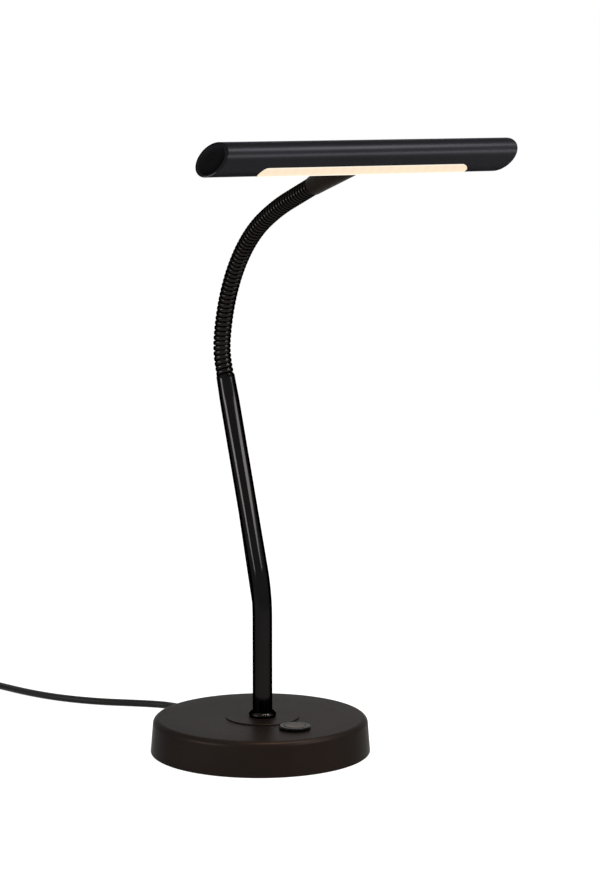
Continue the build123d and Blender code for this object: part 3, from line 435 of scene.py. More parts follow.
def plug_stations():
    """Place, half width and half thickness of the plug, from its pin face to the relief's tip."""
    half = PLUG_THICKNESS / 2
    stations = [
        (0.0, PLUG_HALF_WIDTH - PLUG_EDGE, half - PLUG_EDGE),
        (0.3 * PLUG_EDGE, PLUG_HALF_WIDTH - 0.3 * PLUG_EDGE, half - 0.3 * PLUG_EDGE),
        (PLUG_EDGE, PLUG_HALF_WIDTH, half),
        (PLUG_LENGTH - PLUG_SHOULDER, PLUG_HALF_WIDTH, half),
    ]
    for step in range(1, 9):
        share = step / 8
        width = PLUG_HALF_WIDTH + (PLUG_WAIST - PLUG_HALF_WIDTH) * ease(share, 0, 1)
        depth = half + (PLUG_RELIEF_RADIUS - half) * ease(share, 0.4, 1)
        stations.append((PLUG_LENGTH - PLUG_SHOULDER * (1 - share), width, depth))
    for step in range(1, 2 * PLUG_RIBS):
        share = step / (2 * PLUG_RIBS)
        middle = PLUG_LENGTH + 0.001 + (PLUG_RELIEF - 0.002) * share
        radius = PLUG_RELIEF_RADIUS + (PLUG_TIP_RADIUS - PLUG_RELIEF_RADIUS) * share
        radius -= RIB_GROOVE if step % 2 else 0.0
        stations.append((middle - PLUG_RIB_HALF, radius, radius))
        stations.append((middle + PLUG_RIB_HALF, radius, radius))
    tip = PLUG_LENGTH + PLUG_RELIEF
    stations.append((tip - 0.0004, PLUG_TIP_RADIUS, PLUG_TIP_RADIUS))
    stations.append((tip, PLUG_TIP_RADIUS - 0.0004, PLUG_TIP_RADIUS - 0.0004))
    return stations


def plug_ring(place, width, depth):
    """A section of the plug: a superellipse, boxy at the pins and round along the relief."""
    boxiness = min(max((width - PLUG_RELIEF_RADIUS) / 0.008, 0), 1)
    power = 2 / (2 + 4 * boxiness)
    ring = []
    for side in range(ROUND_SIDES):
        angle = 2 * pi * side / ROUND_SIDES
        across = abs(cos(angle)) ** power * (1 if cos(angle) >= 0 else -1)
        up = abs(sin(angle)) ** power * (1 if sin(angle) >= 0 else -1)
        ring.append((PLUG_X + width * across, PLUG_FRONT + place, PLUG_THICKNESS / 2 + depth * up))
    return ring


def pin_finish():
    """Bright nickel at the tips, with the black insulating sleeve nearer the body."""
    finish = Finish("sleeved_pins")
    sleeve = finish.along("Y").above(PIN_SLEEVE_END)
    wear = finish.noise(420, 3)
    return finish.done(
        Base_Color=finish.between(sleeve, tint(186, 184, 178), tint(22, 21, 21)),
        Metallic=1 - sleeve,
        Roughness=0.22 + 0.12 * wear + 0.2 * sleeve,
    )


plug_rings = [plug_ring(*station) for station in plug_stations()]
plug = make_piece("plug_moulding", skin_rings(plug_rings, looped=False), rubber, 40)
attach(plug, "base")
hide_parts("plug_body")


def dress(material, *names):
    """Give CAD nodes a finish of their own."""
    for name in names:
        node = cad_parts[name]
        node.data.materials.clear()
        node.data.materials.append(material)


dress(pin_finish(), "plug_pins")


# ---------------------------------------------------------------- table and studio light
# A white table under a white sky, lit by two low soft boxes that draw the stem's two streaks, one
# overhead that draws the tube's, and a weaker one from behind.

STEM_AIM = (0, 0.03, 0.22)
HEAD_AIM = (0, -0.15, 0.48)
SOFT_BOXES = {              # place, aim, size and watts
    "left_box": ((-1.564, -0.025, 0.56), STEM_AIM, (1.0, 0.18), 13),
    "right_box": ((0.713, -1.205, 0.93), STEM_AIM, (1.0, 0.22), 13),
    "top_box": ((0.65, -0.57, 1.52), HEAD_AIM, (0.45, 0.30), 13),
    "back_box": ((0.9, 1.17, 1.31), HEAD_AIM, (0.6, 0.3), 5),
}
WHITE = (1, 1, 1, 1)
SKY_LEVEL = 0.25            # on the lamp; the background itself is white
TABLE_MATT = (0.8, 0.8, 0.8, 1)
TABLE_SHADE = (0.3, 0.3, 0.3, 1)
TABLE_GLOW = 0.93           # with the shade's own light, it shows white
TABLE_HALF_WIDTH = 6


def as_seen(nodes, lighting, seen):
    """A background that lights the lamp with one shader and is seen as another."""
    rays = nodes.node("ShaderNodeLightPath").outputs
    looking = Amount(nodes, rays["Is Camera Ray"]).larger(Amount(nodes, rays["Is Glossy Ray"]))
    looking = looking.larger(Amount(nodes, rays["Is Transmission Ray"]))
    sockets = {0: looking, 1: lighting.outputs[0], 2: seen.outputs[0]}
    return nodes.node("ShaderNodeMixShader", {}, sockets).outputs[0]


world = bpy.data.worlds.new("studio")
bpy.context.scene.world = world
world.use_nodes = True
sky = Nodes(world.node_tree)
dim = sky.node("ShaderNodeBackground", {}, {"Color": WHITE, "Strength": SKY_LEVEL})
bright = sky.node("ShaderNodeBackground", {}, {"Color": WHITE, "Strength": 1.0})
sky.node("ShaderNodeOutputWorld", {}, {"Surface": as_seen(sky, dim, bright)})


def table_finish():
    """White to the eye, with the lamp's soft shadow kept in it."""
    finish = Finish("white_table")
    matt = finish.node("ShaderNodeBsdfDiffuse", {}, {"Color": TABLE_MATT})
    shade = finish.node("ShaderNodeBsdfDiffuse", {}, {"Color": TABLE_SHADE})
    glow = finish.node("ShaderNodeEmission", {}, {"Color": WHITE, "Strength": TABLE_GLOW})
    seen = finish.node("ShaderNodeAddShader", {}, {0: shade.outputs[0], 1: glow.outputs[0]})
    finish.node("ShaderNodeOutputMaterial", {}, {"Surface": as_seen(finish, matt, seen)})
    return finish.material


table_form = bmesh.new()
bmesh.ops.create_grid(table_form, x_segments=4, y_segments=4, size=TABLE_HALF_WIDTH)
table = make_piece("table", table_form, table_finish())


def soft_box(name, place, aim, size, power, colour=(1, 1, 1), spread=180):
    """A rectangular area light at a place, aimed at a point."""
    data = bpy.data.lights.new(name, "AREA")
    data.shape = "RECTANGLE"
    data.size, data.size_y = size
    data.energy = power
    data.color = colour
    data.spread = radians(spread)
    light = bpy.data.objects.new(name, data)
    light.location = place
    light.rotation_euler = (Vector(aim) - Vector(place)).to_track_quat("-Z", "Y").to_euler()
    bpy.context.scene.collection.objects.link(light)
    return light


for name, settings in SOFT_BOXES.items():
    soft_box(name, *settings)
bpy.context.scene.view_settings.view_transform = "Standard"


# ---------------------------------------------------------------- base cover
# Deep-drawn steel cover with a drafted side and a rounded top edge, powder-coated in a satin
# brown-black. The stem's fixing and the switch pass through its top.

BASE_HEIGHT = 0.0283
BASE_DRAFT = 0.0022
BASE_EDGE = 0.005
COVER_WALL = 0.0015
RIM_GAP = 0.0004            # between the rim and the table
RIM_HEM = 0.0006
PINHOLE = 0.0004            # at the middle of a turned wall, where its two faces join
UPWARDS = (0, 0, 1)


def arc_points(centre, radius, start, end, steps):
    """Points on an arc of a profile, with angles in degrees."""
    angles = [radians(start + (end - start) * step / steps) for step in range(steps + 1)]
    return [(centre[0] + radius * cos(a), centre[1] + radius * sin(a)) for a in angles]


def cover_profile():
    """The cover's section, from the middle of its top out and back along the inside."""
    draft = degrees(asin(BASE_DRAFT / sqrt(BASE_DRAFT**2 + (BASE_HEIGHT - RIM_GAP) ** 2)))
    slope = tan(radians(draft))
    edge_z = BASE_HEIGHT - BASE_EDGE
    side_x = BASE_RADIUS - slope * (edge_z + BASE_EDGE * sin(radians(draft)) - RIM_GAP)
    edge_x = side_x - BASE_EDGE * cos(radians(draft))
    outside = [(radius, BASE_HEIGHT) for radius in (PINHOLE, 0.03, 0.06)]
    outside += arc_points((edge_x, edge_z), BASE_EDGE, 90, draft, 14)
    outside += [(BASE_RADIUS - slope * 0.012, RIM_GAP + 0.012)]
    hem = arc_points((BASE_RADIUS - RIM_HEM, RIM_GAP + RIM_HEM), RIM_HEM, draft, -90, 4)
    inside = [(BASE_RADIUS - COVER_WALL, RIM_GAP + 0.0002)]
    inside += arc_points((edge_x, edge_z), BASE_EDGE - COVER_WALL, draft, 90, 10)
    inside += [(radius, BASE_HEIGHT - COVER_WALL) for radius in (0.06, PINHOLE)]
    return outside + hem + inside


def powder_coat(name, dark, light, roughness, grain_depth, flake):
    """Powder coat with some metal flake: a fine orange-peel skin, faintly cloudy from handling."""
    finish = Finish(name)
    peel = finish.noise(1500, 2, 0.55)
    cloud = finish.noise(24, 4, 0.6)
    speck = finish.noise(5200, 1)
    return finish.done(
        Base_Color=finish.between(cloud * 0.7 + speck * 0.3, dark, light),
        Metallic=flake,
        Roughness=roughness + 0.10 * (cloud - 0.5) + 0.12 * (peel - 0.5),
        Normal=finish.relief(peel, grain_depth),
        **{"Specular IOR Level": 0.06, "Specular Tint": (0.3, 0.28, 0.27, 1)},
    )


cover_brown = tint(24, 19, 17), tint(32, 27, 25)
cover_paint = powder_coat("cover_powder_coat", *cover_brown, 0.40, 0.000022, 0.6)
cover = turned_piece("base_cover_shell", cover_profile(), (0, 0, 0), UPWARDS, 192, cover_paint)
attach(cover, "base")
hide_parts("base_cover")


# ---------------------------------------------------------------- spread plate and collar
# A thin turned disc in the cover's own paint spreads the stem's load, and a glossy bead closes
# the gap around the stem's foot.

STEM_Y = -0.0034
STEM_RADIUS = 0.0079
PLATE_RADIUS = 0.0293
PLATE_THICKNESS = 0.001
COLLAR_RADIUS = 0.011
COLLAR_HEIGHT = 0.0044
PLATE_TOP = BASE_HEIGHT + PLATE_THICKNESS
NIPPLE_RADIUS = 0.005


def gloss_paint(name, dark, light, roughness):
    """Wet-looking stoved paint with a barely wavy skin, as black towards its edges."""
    finish = Finish(name)
    wave = finish.noise(180, 2)
    smear = finish.noise(34, 4, 0.6)
    return finish.done(
        Base_Color=finish.between(smear, dark, light),
        Metallic=1.0,
        Roughness=roughness + 0.08 * (smear - 0.5),
        Normal=finish.relief(wave, 0.000012),
        **{"Specular Tint": (0, 0, 0, 1)},
    )


plate_hole = NIPPLE_RADIUS + 0.0002
plate_profile = [
    (plate_hole, 0),
    (PLATE_RADIUS - 0.0002, 0),
    (PLATE_RADIUS, 0.0002),
    (PLATE_RADIUS, PLATE_THICKNESS - 0.0003),
    (PLATE_RADIUS - 0.0003, PLATE_THICKNESS),
    (plate_hole, PLATE_THICKNESS),
]
plate_foot = (0, STEM_Y, BASE_HEIGHT)
plate = turned_piece("spread_plate", plate_profile, plate_foot, UPWARDS, 144, cover_paint)
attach(plate, "base")
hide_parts("stem_plate")

collar_profile = [(STEM_RADIUS, 0), (COLLAR_RADIUS - 0.0006, 0)]
collar_profile += arc_points((COLLAR_RADIUS - 0.0018, 0.0018), 0.0018, -60, 50, 8)
collar_profile += arc_points((STEM_RADIUS + 0.0010, COLLAR_HEIGHT - 0.0008), 0.0008, 60, 180, 6)
collar_gloss = gloss_paint("collar_gloss", tint(26, 25, 25), tint(31, 30, 29), 0.12)
collar_foot = (0, STEM_Y, PLATE_TOP)
collar = turned_piece("stem_collar_bead", collar_profile, collar_foot, UPWARDS, 96, collar_gloss)
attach(collar, "base")
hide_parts("stem_collar")


# ---------------------------------------------------------------- stem
# Sixteen-millimetre steel tube, bent backwards a little below its middle and painted gloss black.
# Its top is drawn down around the hose's foot.

STEM_CORNER = 0.1287        # the height at which its two straight runs would cross
STEM_BEND = 0.115           # the bend's radius
STEM_LEAN = radians(19.5)
STEM_TOP = 0.2979
STEM_WALL = 0.0015
SWAGE_LENGTH = 0.024
SWAGE_RADIUS = 0.0075
SWAGE_LIP = 0.0006          # rounding of the drawn end
STEM_SIDES = 96


def walk(start, heading, runs, distance):
    """Point (y, z) and heading after a distance along runs, each a length and the turn it makes."""
    y, z = start
    for length, turn in runs:
        part = min(distance, length)
        if turn:
            radius = length / turn
            y += radius * (sin(heading + part / radius) - sin(heading))
            z += radius * (cos(heading) - cos(heading + part / radius))
            heading += part / radius
        else:
            y += part * cos(heading)
            z += part * sin(heading)
        distance -= part
    return y, z, heading


bend_inset = STEM_BEND * tan(STEM_LEAN / 2)
stem_runs = (
    (STEM_CORNER - PLATE_TOP - bend_inset, 0),
    (STEM_BEND * STEM_LEAN, -STEM_LEAN),
    ((STEM_TOP - STEM_CORNER) / cos(STEM_LEAN) - bend_inset, 0),
)
stem_length = sum(length for length, turn in stem_runs)


def stem_ring(distance, radius):
    """A ring around the stem at a distance from its foot."""
    y, z, heading = walk((STEM_Y, PLATE_TOP), pi / 2, stem_runs, distance)
    centre = Vector((0, y, z))
    side = Vector((0, sin(heading), -cos(heading)))
    ring = []
    for step in range(STEM_SIDES):
        angle = 2 * pi * step / STEM_SIDES
        ring.append(centre + (Vector((1, 0, 0)) * cos(angle) + side * sin(angle)) * radius)
    return ring


bend_start = stem_runs[0][0]
bend_length = stem_runs[1][0]
swage_start = stem_length - SWAGE_LENGTH
stem_stations = [(bend_start * step / 6, STEM_RADIUS) for step in range(7)]
stem_stations += [(bend_start + bend_length * step / 16, STEM_RADIUS) for step in range(1, 17)]
stem_stations += [(swage_start - 0.05, STEM_RADIUS), (swage_start - 0.002, STEM_RADIUS)]
for step in range(1, 9):
    taper = STEM_RADIUS + (SWAGE_RADIUS - STEM_RADIUS) * ease(step / 8, 0, 1)
    stem_stations.append((swage_start + (SWAGE_LENGTH - SWAGE_LIP) * step / 8, taper))
stem_stations += [
    (stem_length - 0.0002, SWAGE_RADIUS - 0.0002),
    (stem_length, SWAGE_RADIUS - SWAGE_LIP),
    (stem_length, SWAGE_RADIUS - 0.0014),
    (swage_start, STEM_RADIUS - 0.0016),
    (bend_start, STEM_RADIUS - STEM_WALL),
    (0.0, STEM_RADIUS - STEM_WALL),
]
stem_rings = [stem_ring(distance, radius) for distance, radius in stem_stations]
stem_gloss = gloss_paint("stem_gloss", tint(21, 20, 20), tint(26, 25, 25), 0.10)
stem = make_piece("stem_pipe", skin_rings(stem_rings, looped=True), stem_gloss, 40)
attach(stem, "base")
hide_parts("stem_tube")


# ---------------------------------------------------------------- push switch
# A black moulded bezel whose threaded sleeve goes through the cover, and in it a grey moulded cap
# on a plunger, dished for a finger.

SWITCH_X = 0.0029
SWITCH_Y = -0.050
BEZEL_RADIUS = 0.01245
BEZEL_HEIGHT = 0.0027
BEZEL_ROUNDING = 0.0012
THREAD_RADIUS = 0.0098
THREAD_DEPTH = 0.0006
THREAD_LENGTH = 0.0135
THREAD_TURNS = 9
CAP_RADIUS = 0.0085
CAP_GAP = 0.0002            # around the cap
CAP_PROUD = 0.0002
CAP_THICKNESS = 0.0026
CAP_ROUNDING = 0.0006
CAP_DISH = ((0.0062, 0.0001), (0.0045, 0.0003), (0.0022, 0.00042), (0.0003, 0.00045))
PLUNGER_RADIUS = 0.0025
PLUNGER_LENGTH = 0.012


def moulded_plastic(name, dark, light, roughness, specular):
    """Injection-moulded plastic with a light texture from its tool."""
    finish = Finish(name)
    texture = finish.noise(3800, 2)
    flow = finish.noise(70, 2)
    return finish.done(
        Base_Color=finish.between(flow, dark, light),
        Roughness=roughness + 0.1 * (texture - 0.5),
        Normal=finish.relief(texture, 0.000012),
        **{"Specular IOR Level": specular},
    )


switch_place = (SWITCH_X, SWITCH_Y, BASE_HEIGHT)
thread_root = THREAD_RADIUS - THREAD_DEPTH
bezel_profile = [(CAP_RADIUS + CAP_GAP, -THREAD_LENGTH), (thread_root, -THREAD_LENGTH)]
thread_pitch = (THREAD_LENGTH - 0.0012) / THREAD_TURNS
for turn in range(THREAD_TURNS):
    place = -THREAD_LENGTH + 0.0006 + thread_pitch * turn
    bezel_profile.append((thread_root, place + 0.1 * thread_pitch))
    bezel_profile.append((THREAD_RADIUS, place + 0.5 * thread_pitch))
bezel_profile += [(thread_root, -0.0002), (THREAD_RADIUS, 0)]
bezel_profile += [(BEZEL_RADIUS - 0.0002, 0), (BEZEL_RADIUS, 0.0003)]
bezel_edge = (BEZEL_RADIUS - BEZEL_ROUNDING, BEZEL_HEIGHT - BEZEL_ROUNDING)
bezel_profile += arc_points(bezel_edge, BEZEL_ROUNDING, 0, 90, 6)
bezel_profile += arc_points((CAP_RADIUS + 0.0009, BEZEL_HEIGHT - 0.0007), 0.0007, 90, 180, 5)
bezel_black = moulded_plastic("bezel_black", tint(3, 3, 3), tint(7, 6, 6), 0.26, 0.03)
bezel = turned_piece("switch_surround", bezel_profile, switch_place, UPWARDS, 96, bezel_black, 45)
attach(bezel, "base")
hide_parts("switch_bezel")

cap_top = BEZEL_HEIGHT + CAP_PROUD
cap_underside = cap_top - CAP_THICKNESS
cap_profile = [
    (0.0003, cap_underside - PLUNGER_LENGTH),
    (PLUNGER_RADIUS, cap_underside - PLUNGER_LENGTH),
    (PLUNGER_RADIUS, cap_underside),
    (CAP_RADIUS, cap_underside),
]
cap_edge = (CAP_RADIUS - CAP_ROUNDING, cap_top - CAP_ROUNDING)
cap_profile += arc_points(cap_edge, CAP_ROUNDING, 0, 90, 5)
cap_profile += [(radius, cap_top - depth) for radius, depth in CAP_DISH]
cap_grey = moulded_plastic("cap_grey", tint(38, 34, 33), tint(48, 44, 42), 0.5, 0.06)
cap_rings = turned_rings(cap_profile, switch_place, UPWARDS, 72)
cap = make_piece("switch_button", skin_rings(cap_rings, looped=False), cap_grey, 45)
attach(cap, "switch_cap")
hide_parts("switch_cap")


# ---------------------------------------------------------------- ballast and closing plate
# A rough iron casting fills the base around its works. A black steel plate closes it from below
# with four countersunk screws, and a foam rubber pad is glued to the plate.


def cast_iron():
    """A sand casting's rough grey skin, with a little rust."""
    finish = Finish("cast_iron")
    grain = finish.noise(900, 4, 0.65)
    rust = finish.noise(36, 4)
    return finish.done(
        Base_Color=finish.between(rust, tint(72, 71, 71), tint(101, 97, 93)),
        Metallic=0.6,
        Roughness=0.62 + 0.2 * grain,
        Normal=finish.relief(grain, 0.0002),
    )


def foam_rubber():
    """Black rubber with fine open cells."""
    finish = Finish("foam_rubber")
    cells = finish.noise(3200, 3, 0.6)
    return finish.done(
        Base_Color=finish.between(cells, tint(20, 20, 20), tint(36, 35, 35)),
        Roughness=0.9,
        Normal=finish.relief(cells, 0.00012),
    )


def bare_metal(name, dark, light, roughness, stretch=(1, 1, 1)):
    """Plated, rolled or drawn metal; a stretch below 1 draws its marks out along that axis."""
    finish = Finish(name)
    drawn = finish.node("ShaderNodeMapping", {}, {"Vector": finish.place, "Scale": stretch})
    marks = finish.noise(1600, 3, 0.6, drawn.outputs[0])
    return finish.done(
        Base_Color=finish.between(marks, dark, light),
        Metallic=1.0,
        Roughness=roughness + 0.14 * (marks - 0.5),
        Normal=finish.relief(marks, 0.000006),
    )


plate_black = powder_coat("plate_black", tint(30, 30, 31), tint(41, 41, 42), 0.5, 0.00003, 0.0)
dress(cast_iron(), "base_weight")
dress(plate_black, "bottom_plate")
dress(foam_rubber(), "foot_pad")
zinc = bare_metal("zinc_plating", tint(150, 152, 156), tint(186, 188, 190), 0.32)
dress(zinc, "bottom_screws")


# ---------------------------------------------------------------- stem's fixing
# A hollow threaded tube screws into the plug in the stem's foot, and a washer and a nut draw it
# against the cover from inside. All are zinc-plated steel.

dress(zinc, "stem_insert", "stem_nipple", "stem_washer", "stem_nut")


# ---------------------------------------------------------------- switch's works
# The contact block hangs under the cap in black moulded plastic, and a ring nut clamps the
# bezel's sleeve to the cover.

works_black = moulded_plastic("works_black", tint(34, 34, 36), tint(47, 47, 49), 0.5, 0.3)
dress(works_black, "switch_block", "switch_nut")


# ---------------------------------------------------------------- driver
# Glass-fibre board with a green solder mask, on four nylon spacers over the closing plate. It
# carries a transformer, a capacitor and the lead's terminals.

WEAVE_RATE = 9000           # radians of the board's weave for each metre


def solder_mask():
    """Green lacquer over the weave of the board."""
    finish = Finish("solder_mask")
    weave_x = (finish.along("X") * WEAVE_RATE).sine()
    weave_y = (finish.along("Y") * WEAVE_RATE).sine()
    weave = weave_x * weave_y * 0.5 + 0.5
    return finish.done(
        Base_Color=finish.between(weave, tint(18, 84, 44), tint(30, 104, 56)),
        Roughness=0.3 + 0.1 * weave,
        Normal=finish.relief(weave, 0.00001),
    )


nylon = moulded_plastic("nylon", tint(204, 200, 188), tint(222, 219, 208), 0.45, 0.4)
component_grey = moulded_plastic("component_grey", tint(58, 58, 62), tint(76, 76, 80), 0.48, 0.4)
dress(solder_mask(), "driver_board")
dress(component_grey, "driver_components")
dress(nylon, "board_spacers")


# ---------------------------------------------------------------- leads in the base
# The mains lead is gripped by a nylon clamp behind the driver, and a thin grey wire climbs from
# the board into the stem.

dress(nylon, "lead_clamp")
dress(black_sheath, "inside_lead")
dress(sheath_finish("wire_sheath", tint(176, 175, 170), tint(192, 191, 187)), "stem_wire")


# ---------------------------------------------------------------- hose
# Gooseneck: a profiled steel wire wound edge to edge in a helix, blackened, that stays where it
# is bent. It is made in lengths from mid-link to mid-link, each spanning one hinge.

NECK_RUNS = (               # lengths and turns along its centre line, from the stem's end
    (0.0085, 0),
    (0.0453 * radians(28), radians(28)),
    (0.1335 * radians(53.6), radians(53.6)),
    (0.2764 * radians(8.8), radians(8.8)),
    (0.1098, 0),
)
RIB_PITCH = 0.0041
RIB_COUNT = 57
HINGE_RIBS = (4, 14, 24, 34, 44, 54)
CREST_RADIUS = 0.0071
WIRE_HALF_HEIGHT = 0.0017
WIRE_WIDTH = 0.998 * RIB_PITCH  # so that the turns lie edge to edge
WIRE_CORNER = 0.0016
WIRE_STEPS = 32             # for each turn
CORNER_STEPS = 4
HOSE_INSIDE_STEM = 0.004
HOSE_INSIDE_SLEEVE = 0.0045
LINE_STEPS = 320            # of the centre line
BLEND_REACH = 0.011         # either side of a hinge
stem_end = walk((STEM_Y, PLATE_TOP), pi / 2, stem_runs, stem_length)
neck_length = sum(length for length, turn in NECK_RUNS)


def neck_place(distance):
    """The neck's centre and direction at a distance from the stem's end, also before it."""
    y, z, heading = walk(stem_end[:2], pi / 2 - STEM_LEAN, NECK_RUNS, max(distance, 0))
    direction = Vector((0, cos(heading), sin(heading)))
    return Vector((0, y, z)) + direction * min(distance, 0), direction


def wound_wire_tree():
    """Nodes that wind a flat wire with rounded corners in a helix about a curve."""
    tree = bpy.data.node_groups.new("wound_wire", "GeometryNodeTree")
    lengths = ("From", "To", "Phase", "Pitch")
    sizes = ("Coil radius", "Wire width", "Wire height", "Corner radius")
    inputs = {
        "NodeSocketGeometry": ("Centre line",),
        "NodeSocketFloat": lengths + sizes,
        "NodeSocketInt": ("Steps", "Corner steps"),
        "NodeSocketMaterial": ("Material",),
    }
    for kind, names in inputs.items():
        for name in names:
            tree.interface.new_socket(name, in_out="INPUT", socket_type=kind)
    tree.interface.new_socket("Wire", in_out="OUTPUT", socket_type="NodeSocketGeometry")
    nodes = Nodes(tree)

    def vector(operation, first, second, socket=1):
        """The outcome of a Vector Math node; second goes to the socket that is named."""
        sockets = {0: first, socket: second}
        return nodes.node("ShaderNodeVectorMath", {"operation": operation}, sockets).outputs[0]

    given = nodes.node("NodeGroupInput").outputs
    start = Amount(nodes, given["From"])
    end = Amount(nodes, given["To"])
    line = nodes.node("GeometryNodeCurvePrimitiveLine")
    turns = nodes.node(
        "GeometryNodeResampleCurve", {}, {"Curve": line.outputs[0], "Count": given["Steps"]}
    )
    share = Amount(nodes, nodes.node("GeometryNodeSplineParameter").outputs["Factor"])
    place = start + (end - start) * share
    sample = nodes.node(
        "GeometryNodeSampleCurve",
        {"mode": "LENGTH"},
        {"Curves": given["Centre line"], "Length": place},
    )
    angle = (place - given["Phase"]) / given["Pitch"] * (2 * pi)
    across = nodes.node("ShaderNodeCombineXYZ", {}, {0: 1.0}).outputs[0]
    beside = vector("CROSS_PRODUCT", sample.outputs["Tangent"], across)
    outward_x = vector("SCALE", across, angle.cosine(), "Scale")
    outward_y = vector("SCALE", beside, angle.sine(), "Scale")
    outward = vector("ADD", outward_x, outward_y)
    reach = vector("SCALE", outward, given["Coil radius"], "Scale")
    point = vector("ADD", sample.outputs["Position"], reach)
    helix = nodes.node(
        "GeometryNodeSetPosition", {}, {"Geometry": turns.outputs[0], "Position": point}
    )
    facing = nodes.node(
        "GeometryNodeSetCurveNormal",
        {"mode": "FREE"},
        {"Curve": helix.outputs[0], "Normal": outward},
    )
    section = nodes.node(
        "GeometryNodeCurvePrimitiveQuadrilateral",
        {"mode": "RECTANGLE"},
        {"Width": given["Wire height"], "Height": given["Wire width"]},
    )
    corners = {"Count": given["Corner steps"], "Radius": given["Corner radius"]}
    rounded = nodes.node(
        "GeometryNodeFilletCurve", {"mode": "POLY"}, {"Curve": section.outputs[0], **corners}
    )
    wire = nodes.node(
        "GeometryNodeCurveToMesh",
        {},
        {"Curve": facing.outputs[0], "Profile Curve": rounded.outputs[0], "Fill Caps": True},
    )
    real = nodes.node("GeometryNodeRealizeInstances", {}, {0: wire.outputs[0]})
    painted = nodes.node(
        "GeometryNodeSetMaterial", {}, {"Geometry": real.outputs[0], "Material": given["Material"]}
    )
    nodes.node("NodeGroupOutput", {}, {0: painted.outputs[0]})
    return tree


def grown(name, carrier_data, tree, values):
    """The plain mesh that a node tree grows on a curve or mesh, with its inputs given by name."""
    carrier = bpy.data.objects.new(name, carrier_data)
    bpy.context.scene.collection.objects.link(carrier)
    modifier = carrier.modifiers.new("grow", "NODES")
    modifier.node_group = tree
    for item in tree.interface.items_tree:
        if item.item_type == "SOCKET" and item.in_out == "INPUT" and item.name in values:
            modifier[item.identifier] = values[item.name]
    ready = carrier.evaluated_get(bpy.context.evaluated_depsgraph_get())
    mesh = bpy.data.meshes.new_from_object(ready)
    bpy.data.objects.remove(carrier)
    return mesh


def hose_finish():
    """Blackened steel wire, oiled, rubbed in patches, with a brownish cast."""
    finish = Finish("hose_black")
    rub = finish.noise(300, 3)
    cloud = finish.noise(45, 3)
    return finish.done(
        Base_Color=finish.between(cloud, tint(24, 23, 23), tint(33, 30, 28)),
        Metallic=1.0,
        Roughness=0.09 + 0.08 * rub,
        Normal=finish.relief(rub, 0.000008),
        **{"Specular Tint": (0, 0, 0, 1)},
    )


centre_curve = bpy.data.curves.new("neck_line", "CURVE")
centre_curve.dimensions = "3D"
line_start = -HOSE_INSIDE_STEM - 0.002
centre_line = centre_curve.splines.new("POLY")
centre_line.points.add(LINE_STEPS)
for step, point in enumerate(centre_line.points):
    place, direction = neck_place(line_start + (neck_length - line_start) * step / LINE_STEPS)
    point.co = (*place, 1)

hose_black = hose_finish()
wound_wire = wound_wire_tree()
hose_bodies = ["base"] + [f"hose_link_{n}" for n in range(1, len(HINGE_RIBS))] + ["head"]
middles = [(low + high) / 2 * RIB_PITCH for low, high in zip(HINGE_RIBS, HINGE_RIBS[1:])]
hose_cuts = [-HOSE_INSIDE_STEM] + middles + [RIB_COUNT * RIB_PITCH + HOSE_INSIDE_SLEEVE]
hose_nodes = ["hose_root"] + hose_bodies[1:-1] + ["hose_tip"]
for number, (start, end) in enumerate(zip(hose_cuts, hose_cuts[1:])):
    values = {
        "From": start - line_start,
        "To": end - line_start,
        "Phase": -line_start,
        "Pitch": RIB_PITCH,
        "Coil radius": CREST_RADIUS - WIRE_HALF_HEIGHT,
        "Wire width": WIRE_WIDTH,
        "Wire height": 2 * WIRE_HALF_HEIGHT,
        "Steps": int((end - start) / RIB_PITCH * WIRE_STEPS) + 1,
        "Corner radius": WIRE_CORNER,
        "Corner steps": CORNER_STEPS,
        "Material": hose_black,
    }
    wire_mesh = grown("hose_wire", centre_curve.copy(), wound_wire, values)
    wire = piece_from_mesh(f"hose_wire_{number + 1}", wire_mesh, hose_black, 60)
    hinge, direction = neck_place(HINGE_RIBS[number] * RIB_PITCH)
    hose_bodies[number + 1]
    hinge - direction * BLEND_REACH
    hinge + direction * BLEND_REACH
    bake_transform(wire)
    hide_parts(hose_nodes[number])
    if number == len(hose_nodes) - 2:
        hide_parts(hose_nodes[-1])


# ---------------------------------------------------------------- neck sleeve and set screw
# Smooth turned sleeve between the hose and the lamp tube, its front end milled to the tube's
# curve. A socket set screw from below grips the hose's tip.

HEAD_RADIUS = 0.0125
SLEEVE_OUTSIDE = 0.0075     # at the hose's end
SLEEVE_FLARE = tan(radians(2.2))
SLEEVE_CHAMFER = 0.0006
SLEEVE_BORE = 0.0053
SLEEVE_DEPTH = 0.035        # of its bore
SLEEVE_FRONT = 0.024        # behind the tube's axis, where its end is clear of the milled curve
SLEEVE_SIDES = 96
MILLING_GAP = 0.00002       # between the milled end and the tube
LAST_RIB = 0.0025           # of the hose, in front of the sleeve's end
GRUB_BACK = 0.0589          # behind the tube's axis
GRUB_TURN = radians(20)
GRUB_RADIUS = 0.0015
GRUB_REACH = (0.0052, 0.0076)  # its ends, from the sleeve's axis
GRUB_SIDES = 24
GRUB_SOCKET = 0.00075       # from its middle to a flat
GRUB_SOCKET_DEPTH = 0.0012
TAPPED_RADIUS = GRUB_RADIUS + 0.00008
TAPPED_REACH = (0.0045, 0.0095)
HEAD_NIPPLE_RADIUS = 0.004
hose_end_back = neck_length - RIB_COUNT * RIB_PITCH
head_centre, forward_axis = neck_place(neck_length)
back = -forward_axis
sideways = Vector((1, 0, 0))
neck_up = sideways.cross(back)
sleeve_end = hose_end_back - LAST_RIB


